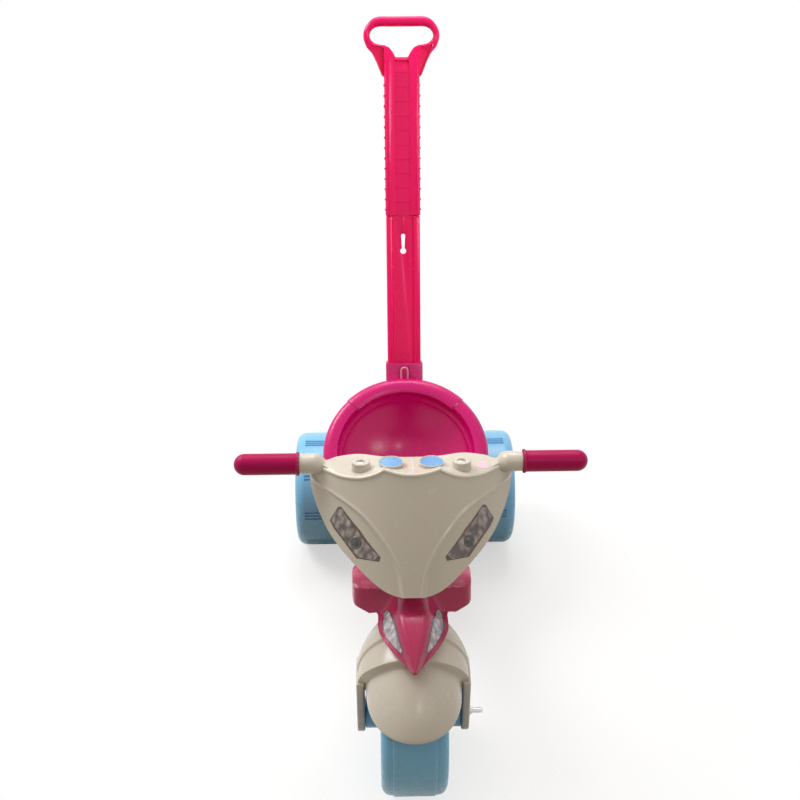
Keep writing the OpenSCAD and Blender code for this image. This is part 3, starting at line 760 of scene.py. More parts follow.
    def soften(self, offset: float, segments: int = 2, angle: float = 35.0,
               chosen: Callable[[bmesh.types.BMEdge], bool] | None = None) -> "Form":
        """Round the edges that are sharper than an angle.

        Args:
            offset: How far the rounding reaches.
            segments: Faces across it.
            angle: Edges flatter than this, in degrees, stay as they are.
            chosen: Keeps the rounding to the edges it accepts.

        Returns:
            This form.
        """
        bmesh.ops.recalc_face_normals(self.bm, faces=self.bm.faces)
        limit = math.radians(angle)
        edges = [e for e in self.bm.edges if len(e.link_faces) == 2 and e.calc_face_angle() > limit
                 and (chosen is None or chosen(e))]
        bmesh.ops.bevel(self.bm, geom=edges, offset=offset, offset_type="OFFSET", segments=segments,
                        profile=0.5, affect="EDGES", material=-1, clamp_overlap=True)
        return self

    def everything(self) -> list[Element]:
        """List all of the mesh's elements.

        Returns:
            Its vertices, edges and faces.
        """
        return self.bm.verts[:] + self.bm.edges[:] + self.bm.faces[:]

    def cut(self, point: Vector, normal: Vector) -> "Form":
        """Cut away what lies on the far side of a plane.

        Args:
            point: A point of the plane.
            normal: Points to what is cut away.

        Returns:
            This form.
        """
        bmesh.ops.bisect_plane(self.bm, geom=self.everything(), dist=1e-4, plane_co=point, plane_no=normal,
                               clear_outer=True, clear_inner=False)
        return self

    def move(self, matrix: Matrix) -> "Form":
        """Take the form into another frame.

        Args:
            matrix: The frame.

        Returns:
            This form.
        """
        bmesh.ops.transform(self.bm, matrix=matrix, verts=self.bm.verts)
        return self

    def mirrored(self) -> "Form":
        """Add a copy on the other side of the trike.

        Returns:
            This form.
        """
        made = bmesh.ops.duplicate(self.bm, geom=self.everything())["geom"]
        bmesh.ops.scale(self.bm, vec=(-1, 1, 1), verts=picked(made, bmesh.types.BMVert))
        bmesh.ops.reverse_faces(self.bm, faces=picked(made, bmesh.types.BMFace))
        return self

    def paint(self, index: int, chosen: Callable[[bmesh.types.BMFace], bool] | None = None) -> "Form":
        """Give faces one of the piece's finishes.

        Args:
            index: The finish's place in the piece's list.
            chosen: Keeps it to the faces it accepts.

        Returns:
            This form.
        """
        for face in self.bm.faces:
            if chosen is None or chosen(face):
                face.material_index = index
        return self

    def edged(self, index: int) -> "Form":
        """Give the faces along an open sheet's border one of the piece's finishes.

        Args:
            index: The finish's place in the piece's list.

        Returns:
            This form.
        """
        return self.paint(index, lambda face: any(vert.is_boundary for vert in face.verts))

    def add(self, other: "Form") -> "Form":
        """Take in another form, which is used up.

        Args:
            other: The other form.

        Returns:
            This form.
        """
        mesh = bpy.data.meshes.new("joined")
        other.bm.to_mesh(mesh)
        other.bm.free()
        self.bm.from_mesh(mesh)
        bpy.data.meshes.remove(mesh)
        return self

    def in_order(self) -> "Form":
        """Put the mesh's elements in the order of their places, which is the same on every run.

        Returns:
            This form.
        """
        ranks = {vert: k for k, vert in enumerate(sorted(self.bm.verts, key=lambda vert: vert.co[:]))}
        self.bm.verts.sort(key=lambda vert: ranks[vert])
        for elements in (self.bm.edges, self.bm.faces):
            rows = sorted(elements, key=lambda item: sorted(ranks[vert] for vert in item.verts))
            places = {item: k for k, item in enumerate(rows)}
            elements.sort(key=lambda item: places[item])
        return self

    def carve(self, cutter: "Form") -> "Form":
        """Cut another form's volume out of this one.

        Args:
            cutter: What is cut out; it is used up.

        Returns:
            This form.
        """
        objects = []
        for form in (self.in_order(), cutter.in_order()):
            bmesh.ops.recalc_face_normals(form.bm, faces=form.bm.faces)
            mesh = bpy.data.meshes.new("carving")
            form.bm.to_mesh(mesh)
            form.bm.free()
            objects.append(bpy.data.objects.new("carving", mesh))
            bpy.context.scene.collection.objects.link(objects[-1])
        blade = objects[0].modifiers.new("cut", "BOOLEAN")
        blade.operation = "DIFFERENCE"
        blade.solver = "EXACT"
        blade.use_self = True
        blade.object = objects[1]
        graph = bpy.context.evaluated_depsgraph_get()
        result = bpy.data.meshes.new_from_object(objects[0].evaluated_get(graph))
        self.bm = bmesh.new()
        self.bm.from_mesh(result)
        self.order = self.bm.verts.layers.int.get("order") or self.bm.verts.layers.int.new("order")
        bpy.data.meshes.remove(result)
        for item in objects:
            mesh = item.data
            bpy.data.objects.remove(item)
            bpy.data.meshes.remove(mesh)
        return self


def block(low: Sequence[float], high: Sequence[float]) -> Form:
    """Make a plain block to carve with or to build on.

    Args:
        low: Its lowest corner.
        high: Its highest corner.

    Returns:
        The block.
    """
    corners = ((low[0], low[1]), (high[0], low[1]), (high[0], high[1]), (low[0], high[1]))
    form = Form().wire([Vector((x, y, low[2])) for x, y in corners], close=True)
    return form.slab(Vector((0.0, 0.0, high[2] - low[2])))


def rounded_bar(half_w: float, half_d: float, corner: float, low: float, high: float) -> Form:
    """Make a bar of rounded rectangular section that stands along z.

    Args:
        half_w: Half its width along x.
        half_d: Half its depth along y.
        corner: How far its round corners reach.
        low: Where it starts.
        high: Where it ends.

    Returns:
        The bar.
    """
    corners = ((-half_w, -half_d), (half_w, -half_d), (half_w, half_d), (-half_w, half_d))
    form = Form().wire([Vector((x, y, low)) for x, y in corners], corner, 5, close=True)
    return form.slab(Vector((0.0, 0.0, high - low)))


def publish(form: Form, name: str, body: Body, finishes: Sequence[Finish], nodes: Iterable[str],
            crisp: float = 38.0) -> bpy.types.Object:
    """Turn a form into a finished piece of the trike.

    Args:
        form: The form, in the trike's frame; it is used up.
        name: The piece's name.
        body: The body it rides on.
        finishes: Its finishes, in the order of the faces' numbers.
        nodes: The CAD nodes that it stands for.
        crisp: Edges sharper than this, in degrees, stay sharp.

    Returns:
        The piece.
    """
    bm = form.in_order().bm
    bmesh.ops.remove_doubles(bm, verts=bm.verts, dist=1e-3)
    loose = [vert for vert in bm.verts if not vert.link_faces]
    bmesh.ops.delete(bm, geom=loose, context="VERTS")
    bmesh.ops.recalc_face_normals(bm, faces=bm.faces)
    limit = math.radians(crisp)
    for face in bm.faces:
        face.smooth = True
    for edge in bm.edges:
        edge.smooth = len(edge.link_faces) == 2 and edge.calc_face_angle() < limit
    bm.verts.layers.int.remove(bm.verts.layers.int["order"])
    bmesh.ops.scale(bm, vec=(MM, MM, MM), verts=bm.verts)
    mesh = bpy.data.meshes.new(name)
    bm.to_mesh(mesh)
    bm.free()
    for finish in finishes:
        mesh.materials.append(finish.material())
    piece = bpy.data.objects.new(name, mesh)
    bpy.context.scene.collection.objects.link(piece)
    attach(piece, body.value)
    nodes = list(nodes)
    if nodes:
        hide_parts(*nodes)
    LOG.info("%s: %d faces on %s", name, len(mesh.polygons), body.value)
    return piece


@dataclass(frozen=True)
class Layout:
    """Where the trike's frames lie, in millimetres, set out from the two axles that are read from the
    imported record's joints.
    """

    front_axle: Vector
    rear_axle: Vector
    lean: float = 23.0
    pole_tilt: float = 23.5
    rim_slope: float = 38.0
    bowl_ahead: float = 92.0
    bar_up: float = 334.0

    @classmethod
    def read(cls) -> "Layout":
        """Read the axles' places from the record.

        Returns:
            The layout.
        """
        joints = {joint["name"]: joint for joint in frame["record"]["behaviour"]["joints"]}
        front = Vector(joints["steer"]["pos_m"]) / MM
        rear = Vector(joints["rear_left_spin"]["pos_m"]) / MM
        return cls(front, Vector((0.0, rear.y, rear.z)))

    @property
    def bowl_y(self) -> float:
        """Give where the middle of the seat's bowl lies along the trike.

        Returns:
            The place.
        """
        return self.rear_axle.y - self.bowl_ahead

    def steering(self) -> Matrix:
        """Give the frame of the column, with z up it from the front axle.

        Returns:
            The frame.
        """
        return placed(-self.lean, self.front_axle)

    def shield(self) -> Matrix:
        """Give the frame of the shield's face, with z up it from below its top edge.

        Returns:
            The frame.
        """
        return self.steering() @ placed(-10.5, (0.0, -52.0, 320.0))

    def dash(self) -> Matrix:
        """Give the frame of the dash's face, with y back along it.

        Returns:
            The frame.
        """
        return self.steering() @ placed(12.0, (0.0, 14.0, 340.0))

    def bar(self) -> Matrix:
        """Give the frame at the middle of the handlebar.

        Returns:
            The frame.
        """
        return self.steering() @ Matrix.Translation((0.0, 0.0, self.bar_up))

    def bowl(self) -> Matrix:
        """Give the frame of the seat rim's plane.

        Returns:
            The frame.
        """
        return placed(self.rim_slope, (0.0, self.bowl_y, 230.0))

    def pole(self) -> Matrix:
        """Give the frame of the push pole, with z up it from the rim.

        Returns:
            The frame.
        """
        return placed(-self.pole_tilt, (0.0, self.rear_axle.y + 15.196, 288.323))


@dataclass(frozen=True)
class Chassis:
    """The main moulding: nose, shoulders, spine and seat deck, with its head tube and ribs."""

    layout: Layout
    head_z: float = 153.0
    head_r: float = 21.0
    head_top: float = 236.0
    deck_top: float = 184.0
    deck_half_h: float = 60.0
    landing_y: float = -42.3
    tail_y: float = 74.0
    spine_key: int = 9
    wall: float = 3.5
    rib: float = 3.0
    rib_step: float = 62.0
    upper_facet: tuple[float, float, float] = (0.936, 0.351, 0.726)
    lower_facet: tuple[float, float, float] = (0.743, -0.669, 1.078)
    points: int = 72
    steps: int = 6

    def keys(self) -> list[list[float]]:
        """List the main sections from the tip of the nose to the tail.

        Returns:
            Rows of y, z, backward lean, half width, half height, squareness, and the upper and lower
            facets' depths.
        """
        axle = self.layout.front_axle
        rise, run = math.cos(math.radians(self.layout.lean)), math.sin(math.radians(self.layout.lean))
        nose = ((-119, -46, -40, 3, 4, 4, 1, 0), (-104, -37, -38, 15, 13, 9, 1, 0.1),
                (-82, -26, -32, 33, 24, 14, 1, 0.2), (-58, -14, -24, 43.5, 29, 16, 1, 0.3),
                (-28, -3, -14, 44.5, 26, 16, 1, 0.4), (-20, 4, -10, 52, 20, 14, 0.8, 0.3),
                (-12, 10, -6, 72, 15, 14, 0.3, 0.25), (10, 14, 2, 76, 18, 14, 0, 0.4),
                (58, 4, 12, 75, 28, 8, 0, 0.8))
        rows = []
        for back, up, tilt, wide, high, power, facet, under in nose:
            up += self.head_z
            rows.append([axle.y + back * rise + up * run, axle.z + up * rise - back * run,
                         tilt + self.layout.lean, wide, high, power, facet, under])
        top = self.head_z + 25.0
        head_y, head_z = axle.y + top * run, axle.z + top * rise
        bowl_y = self.layout.bowl_y
        deck_y, deck_z = bowl_y - 78.0, self.deck_top + 1.5 - self.deck_half_h
        spine_y, spine_z = (head_y + 78.0 + deck_y) / 2.0, (head_z + self.deck_top) / 2.0 - 46.0
        tail = self.layout.rear_axle.y
        rows += [[head_y + 86.0, head_z - 64.0, 34, 47, 28, 2.6, 0, 0],
                 [spine_y, spine_z, 26, 43, 38, 2.8, 0, 0],
                 [deck_y, self.deck_top - 44.0, 8, 52, 45, 3.2, 0, 0],
                 [bowl_y, deck_z, 0, 80.5, self.deck_half_h, 4, 0, 0],
                 [tail + 30.0, deck_z, 0, 86.5, self.deck_half_h, 4.5, 0, 0],
                 [tail + self.tail_y, deck_z - 5.0, -6, 78.5, self.deck_half_h - 10.0, 4, 0, 0]]
        return rows

    def at(self, key: Sequence[float], angle: float, grow: float = 0.0) -> Vector:
        """Find a point of a section, whose corners can be planed off into facets.

        Args:
            key: The section's row.
            angle: The direction from its middle, in radians, from the right round to the top.
            grow: How far outside the section the point lies.

        Returns:
            The point.
        """
        y, z, tilt, wide, high, power, facet, under = key
        across, up = math.cos(angle), math.sin(angle)
        walls = [abs(across), abs(up)]
        for (out, lift, far), share in ((self.upper_facet, facet), (self.lower_facet, under)):
            walls.append(max((out * abs(across) + lift * up) / far * share, 0.0))
        reach = sum(wall ** power for wall in walls) ** (-1.0 / power)
        rise = (high + grow) * reach * up
        lean = math.radians(tilt)
        return Vector(((wide + grow) * reach * across, y + rise * math.sin(lean), z + rise * math.cos(lean)))

    def section(self, key: Sequence[float], points: int) -> list[Vector]:
        """Make one closed section that stays clear of the turning fork.

        Args:
            key: The section's row.
            points: How many points it has.

        Returns:
            The points.
        """
        return [self.clear(self.at(key, math.tau * k / points), 0.3) for k in range(points)]

    def clear(self, point: Vector, gap: float) -> Vector:
        """Lift a point out of the ball that the fork turns in.

        Args:
            point: The point.
            gap: How far outside the ball it stays.

        Returns:
            The point, lifted where it has to be.
        """
        away = point - self.layout.front_axle
        if away.length >= self.head_z + gap:
            return point
        lift = math.sqrt((self.head_z + gap) ** 2 - away.x ** 2) / away.yz.length
        return self.layout.front_axle + Vector((away.x, away.y * lift, away.z * lift))

    def cells(self) -> Form:
        """Make the hollow under the deck as cells between ribs.

        Returns:
            The cells.
        """
        rows = self.keys()
        last = len(rows) - 1
        hollow = []
        for i in range(self.spine_key, last + 1):
            y, z, tilt, wide, high, power = rows[i][:6]
            shift = 18.0 if i == self.spine_key else -10.0 if i == last else 0.0
            hollow.append([y + shift, z - 20.0 - self.wall, tilt, wide - self.wall, high + 20.0, power, 0, 0])
        turns = [math.tau * k / 48 for k in range(48)]
        cells = Form().loft([[self.at(key, turn) for turn in turns] for key in curve(hollow, 3)])
        start = self.layout.rear_axle.y - 170.0
        ribs = block((-self.rib / 2, -400.0, 0.0), (self.rib / 2, 400.0, 400.0))
        for k in range(4):
            y = start + k * self.rib_step
            ribs.add(block((-300.0, y, 0.0), (300.0, y + self.rib, 400.0)))
        deck = (-300.0, self.landing_y - self.wall, self.deck_top - self.wall)
        ribs.add(block(deck, (300.0, 500.0, 420.0)))
        return cells.carve(ribs)

    def head(self) -> Form:
        """Turn the head tube that the column passes through.

        Returns:
            The tube.
        """
        bore, low = 9.6, 172.0
        line = [(bore, low), (bore, self.head_top), (self.head_r, self.head_top), (self.head_r, 196.0),
                (self.head_r + 9.0, low)]
        return Form().lathe(line, Axis.Z, 64, 1.6).move(self.layout.steering())

    def axle_tube(self) -> Form:
        """Turn the tube that carries the rear axle across the deck's cells.

        Returns:
            The tube.
        """
        end, outer, bore = 86.0, 11.0, 5.1
        line = [(-end, bore), (-end, outer), (end, outer), (end, bore)]
        return Form().lathe(line, Axis.X, 40, 0.8).move(Matrix.Translation(self.layout.rear_axle))

    def build(self) -> None:
        """Build the moulding."""
        form = Form().loft([self.section(key, self.points) for key in curve(self.keys(), self.steps)])
        form.carve(block((-300.0, self.landing_y, self.deck_top), (300.0, 500.0, 420.0)))
        form.carve(self.cells())
        form.add(self.head()).add(self.axle_tube())
        publish(form, "chassis_shell", Body.FRAME, [BODY_PINK], ["chassis"], 30.0)


@dataclass(frozen=True)
class NoseLamps:
    """Two lens-shaped lamp stickers on the flanks of the nose."""

    chassis: Chassis
    start: float = 1.3
    end: float = 4.05
    half_angle: Pair = (2.0, 32.0)
    fullness: float = 0.65
    middle_angle: float = 21.0
    swing: float = 26.0
    rows: int = 18
    columns: int = 8

    def build(self) -> None:
        """Build both stickers."""
        keys = self.chassis.keys()

        def place(i: int, j: int) -> Vector:
            """Find a point of the right-hand sticker.

            Args:
                i: The count across it.
                j: The count along it.

            Returns:
                The point.
            """
            t = j / self.rows
            half = self.half_angle[0] + self.half_angle[1] * math.sin(math.pi * t) ** self.fullness
            angle = self.middle_angle - self.swing * t ** 3 + half * (2.0 * i / self.columns - 1.0)
            lift = 0.5 if 0 < i < self.columns and 0 < j < self.rows else 0.1
            key = curve_at(keys, lerp(self.start, self.end, t))
            return self.chassis.clear(self.chassis.at(key, math.radians(angle), lift), 0.3 + lift)

        form = Form().sheet(self.columns, self.rows, place).edged(1).mirrored()
        publish(form, "nose_lamp_stickers", Body.FRAME, [EYE, EYE_RIM], ["nose_decals"])


@dataclass(frozen=True)
class Fork:
    """The mudguard with its stepped arch, its two legs and the column's boss."""

    layout: Layout
    tube: float = 60.0
    mid: float = 74.0
    step: float = 10.0
    crown: float = 1.5
    crown_rise: float = 3.0
    taper: float = 13.0
    lip: float = 73.0
    back: float = 142.0
    hem: float = 58.0
    wall: float = 3.0
    skirt: float = 12.0
    leg_in: float = 62.0
    leg_out: float = 72.0
    leg_end: float = 24.0
    columns: int = 80

    def round_axle(self, x: float, reach: float, turn: float) -> Vector:
        """Find a point from its turn about the front axle.

        Args:
            x: Its place across the trike.
            reach: Its distance from the axle.
            turn: Its angle in degrees, from straight ahead to straight up.

        Returns:
            The point.
        """
        angle = math.radians(turn)
        axle = self.layout.front_axle
        return Vector((x, axle.y - reach * math.cos(angle), axle.z + reach * math.sin(angle)))

    @staticmethod
    def steps_at(phi: float) -> Pair:
        """Give the angles at which the arch steps up.

        Args:
            phi: How far down the side of the arch, in radians from its top.

        Returns:
            The angles of the two steps, in degrees.
        """
        return 73.2 + 2.2 * math.sin(phi) ** 8, 88.5

    def turns(self, phi: float, reach: float) -> list[float]:
        """List the angles of a strip from the lip over both steps to the back.

        Args:
            phi: How far down the side the strip lies, in radians from the top.
            reach: The strip's distance from the axle on the front dome.

        Returns:
            The angles, in degrees.
        """
        first, second = self.steps_at(phi)
        lip = math.degrees(math.asin(min(self.lip / reach, 1.0)))
        lip = min(lip, first - 2.0)
        rows = [lerp(lip, first - 1.0, k / 20) for k in range(20)]
        rows += [first + 0.45 * k - 1.0 for k in range(5)]
        rows += [lerp(first + 1.2, second - 1.0, k / 8) for k in range(8)]
        rows += [second + 0.45 * k - 1.0 for k in range(5)]
        hem = 180.0 - math.degrees(math.asin(min(self.hem / reach, 1.0)))
        last = max(min(self.back, hem), second + 3.0)
        return rows + [lerp(second + 1.2, last, k / 24) for k in range(25)]

    def guard(self) -> Form:
        """Sweep the mudguard's sheet round the wheel and thicken it.

        Returns:
            The mudguard.
        """
        side = 0.9
        strips = []
        for i in range(self.columns + 1):
            share = 2.0 * i / self.columns - 1.0
            phi = math.radians(90.0 * min(abs(share) / side, 1.0))
            drop = self.skirt * max(abs(share) - side, 0.0) / (1.0 - side)
            turns = self.turns(phi, self.mid + self.tube * math.cos(phi) - drop)
            first, second = self.steps_at(phi)
            strip = []
            for turn in turns:
                tube = self.tube + self.step * ease((turn - first + 0.9) / 1.8)
                tube -= self.taper * ease((turn - 93.0) / 36.0)
                crown = self.crown + self.crown_rise * math.cos(phi) ** 2
                tube += crown * ease((turn - second + 0.9) / 1.8)
                strip.append(self.round_axle(math.copysign(tube * math.sin(phi), share),
                                             self.mid + tube * math.cos(phi) - drop, turn))
            strips.append(strip)
        form = Form().sheet(self.columns, len(strips[0]) - 1, lambda i, j: strips[i][j])
        return form.thicken(self.wall).soften(0.9, 2, 70.0)

    def leg(self) -> Form:
        """Make the right leg, a plate from the axle up into the arch.

        Returns:
            The leg.
        """
        end = [(self.leg_end, a) for a in range(-170, 1, 17)]
        top = [(self.mid + 6.0, a) for a in range(73, 112, 6)]
        line = [self.round_axle(self.leg_in, reach, turn) for reach, turn in end + top]
        form = Form().wire(line, close=True).slab(Vector((self.leg_out - self.leg_in, 0.0, 0.0)))
        return form.soften(2.2, 3, 50.0)

    def boss(self) -> Form:
        """Turn the boss that takes the foot of the column.

        Returns:
            The boss.
        """
        bore, outer, top = 9.1, 19.0, 149.0
        line = [(bore, 107.0), (bore, top), (outer, top), (outer, 106.0), (0.0, 103.0)]
        return Form().lathe(line, Axis.Z, 56, 1.2).move(self.layout.steering())

    def build(self) -> None:
        """Build the fork."""
        form = self.guard().add(self.leg().mirrored()).add(self.boss())
        publish(form, "fork_mudguard", Body.STEERING, [CREAM], ["fork"], 42.0)


@dataclass(frozen=True)
class FrontAxle:
    """The front axle, a turned rod with a low domed head and a stepped end."""

    layout: Layout
    head_x: float = -72.6
    head_r: float = 9.0
    rod_r: float = 5.0
    tip_r: float = 3.3
    neck: tuple[float, float, float] = (72.0, 75.0, 3.5)
    end_x: float = 91.0

    def build(self) -> None:
        """Build the axle."""
        head, wide, rod, tip = self.head_x, self.head_r, self.rod_r, self.tip_r
        low, high, neck = self.neck
        line = [(head, 0.0), (head + 0.2, wide - 2.5), (head + 1.0, wide - 0.4), (head + 1.8, wide),
                (head + 2.6, wide), (head + 2.6, rod)]
        line += [(lerp(head + 6.0, low - 2.0, k / 8), rod) for k in range(9)]
        line += [(low, rod), (low, neck), (high, neck), (high, rod), (high + 1.6, rod), (high + 2.6, tip),
                 (self.end_x - 1.5, tip), (self.end_x, tip - 1.4), (self.end_x, 0.0)]
        form = Form().lathe(line, Axis.X, 48).move(Matrix.Translation(self.layout.front_axle))
        publish(form, "front_axle_rod", Body.STEERING, [STEEL], ["front_axle"])


@dataclass(frozen=True)
class Fairing:
    """The scooter-style shield with its raised middle panel."""

    layout: Layout
    radius: float = 160.0
    proud: float = 2.5
    wall: float = 3.0
    low: float = -137.3
    tuck: float = 2.2
    rows: int = 50
    outline: tuple[Pair, ...] = (
        (-138.3, 0.0), (-137.6, 12.0), (-135.5, 22.0), (-130.5, 34.0), (-124.0, 43.5), (-114.7, 54.5),
        (-100.0, 70.0), (-78.0, 90.5), (-58.0, 105.0), (-30.0, 118.5), (-8.0, 125.5), (20.0, 128.5))
    crease: tuple[Pair, ...] = ((-138.3, 12.5), (-134.0, 13.2), (-108.4, 17.5), (-80.3, 30.2), (-58.9, 45.0),
                                (-35.2, 66.0), (-17.0, 92.0), (-2.0, 117.0), (6.0, 130.0))
    middle_lip: tuple[Pair, ...] = ((0.0, 8.7), (10.0, 9.3), (21.0, 11.4), (34.0, 15.4))
    outer_lip: tuple[Pair, ...] = (
        (34.0, 15.4), (41.5, 11.3), (51.0, 7.9), (60.0, 5.9), (68.0, 5.2), (80.0, 6.0), (88.0, 7.4),
        (97.0, 10.3), (107.0, 14.0), (124.0, 17.5))

    def lip_at(self, x: float) -> float:
        """Give the height at which the dash's scalloped lip ends on the face.

        Args:
            x: The place across.

        Returns:
            The height above the shield's frame.
        """
        keys = self.middle_lip if abs(x) < self.middle_lip[-1][0] else self.outer_lip
        return read(keys, abs(x))

    def wrapped(self, x: float, z: float, inset: float) -> Vector:
        """Wrap a point of the flat outline on to the shield's round wall.

        Args:
            x: Its place across.
            z: Its place up the face.
            inset: How far it lies inside the raised middle's face.

        Returns:
            The point, in the shield's frame.
        """
        reach = self.radius - inset
        return Vector((x, self.radius - math.sqrt(max(reach * reach - x * x, 0.0)), z))

    def shield(self) -> Form:
        """Lay the shield's sheet in strips that follow its creases, and thicken it.

        Returns:
            The shield, in its own frame.
        """
        bead = ((-5.0, 0.0), (-3.4, -0.6), (-1.6, -0.8), (0.0, -0.2), (1.5, 1.2), (3.0, 2.2),
                (4.8, self.proud))
        middle, flank = 14, 8
        half = [("m", k / middle) for k in range(middle + 1)] + [("b", k) for k in range(1, len(bead))]
        half += [("s", k / flank) for k in range(1, flank + 1)]
        columns = [(kind, value, -1.0) for kind, value in reversed(half[1:])]
        columns += [(kind, value, 1.0) for kind, value in half]
        shoulder = 0.84

        def place(i: int, j: int) -> Vector:
            """Find a point of the sheet.

            Args:
                i: The count across it.
                j: The count up it.

            Returns:
                The point.
            """
            kind, value, side = columns[i]
            share = j / self.rows
            above = max(share - shoulder, 0.0) / (1.0 - shoulder)
            z = self.low * max(1.0 - (share / shoulder) ** 2, 0.0) + above * 12.0
            edge = read(self.outline, z)
            crease = min(read(self.crease, z), edge - 0.3)
            if kind == "m":
                x, inset = max(crease + bead[0][0], crease * 0.6) * value, 0.0
            elif kind == "b":
                x, inset = min(crease + bead[value][0], edge), bead[value][1]
            else:
                x, inset = lerp(min(crease + bead[-1][0], edge), edge, value), self.proud
            if above:
                z = above * (self.lip_at(x) + self.tuck)
            return self.wrapped(side * x, z, inset)

        form = Form().sheet(len(columns) - 1, self.rows, place)
        return form.thicken(self.wall).soften(0.8, 2, 70.0)

    def webs(self) -> Form:
        """Make the two webs and the collar that carry the shield on the handlebar's boss.

        Returns:
            The webs, in the steering frame.
        """
        form = Form()
        for x in (-35.0, 32.0):
            line = [Vector((x, -44.0, 312.5)), Vector((x, 8.0, 312.5)), Vector((x, 8.0, 243.0)),
                    Vector((x, -52.0, 243.0))]
            form.add(Form().wire(line, close=True).slab(Vector((3.0, 0.0, 0.0))))
        bore, outer, foot, top = 16.2, 34.0, 243.0, 253.0
        line = [(bore, foot), (bore, top), (outer, top), (outer, foot)]
        collar = Form().lathe(line, Axis.Z, 48, 1.0, close=True)
        edge = [vert for vert in collar.bm.verts if vert.co.xy.length > 30.0]
        bmesh.ops.scale(collar.bm, vec=(1.0, 0.5, 1.0), verts=edge)
        return form.add(collar).soften(0.6, 2, 60.0)

    def build(self) -> None:
        """Build the fairing."""
        form = self.shield().move(self.layout.shield())
        form.add(self.webs().move(self.layout.steering()))
        publish(form, "fairing_shield", Body.STEERING, [CREAM], ["fairing"], 50.0)


@dataclass(frozen=True)
class Headlamps:
    """Two printed headlamp stickers on the shield's side panels."""

    fairing: Fairing
    lens: float = 8.0
    lens_at: Pair = (69.5, -71.8)
    rows: int = 24
    columns: int = 9

    def build(self) -> None:
        """Build both stickers with their round lenses."""
        inner = [(87.3, -28.5), (78.6, -39.2), (71.6, -48.1), (64.3, -56.3), (57.1, -66.7), (49.0, -77.1),
                 (39.3, -88.8)]
        outer = [(91.2, -29.1), (102.0, -46.6), (96.7, -56.5), (88.2, -66.7), (81.1, -75.7), (68.9, -91.1),
                 (41.0, -94.2)]

        def place(i: int, j: int) -> Vector:
            """Find a point of the right-hand sticker.

            Args:
                i: The count across it.
                j: The count along it.

            Returns:
                The point.
            """
            along = j / self.rows * (len(inner) - 1)
            k = min(int(along), len(inner) - 2)
            a, b = ([lerp(p, q, along - k) for p, q in zip(line[k], line[k + 1])] for line in (inner, outer))
            x, z = (lerp(p, q, i / self.columns) for p, q in zip(a, b))
            edge = i in (0, self.columns) or j in (0, self.rows)
            return self.fairing.wrapped(x, z, self.fairing.proud - (0.1 if edge else 0.55))

        form = Form().sheet(self.columns, self.rows, place).edged(1)
        centre = self.fairing.wrapped(*self.lens_at, self.fairing.proud - 0.6)
        line = [(0.0, 1.3), (self.lens * 0.62, 0.9), (self.lens * 0.7, 0.55), (self.lens * 0.8, 0.95),
                (self.lens, 0.0)]
        dome = Form().lathe(line, Axis.Z, 36).paint(2)
        dome.paint(1, lambda face: face.calc_center_median().xy.length > self.lens * 0.66)
        facing = Vector((centre.x, centre.y - self.fairing.radius, 0.0)).to_track_quat("Z", "Y").to_matrix()
        form.add(dome.move(Matrix.Translation(centre) @ facing.to_4x4())).mirrored()
        publish(form.move(self.fairing.layout.shield()), "headlamp_stickers", Body.STEERING,
                [REFLECTOR, SURROUND, LENS], ["headlight_decals"])


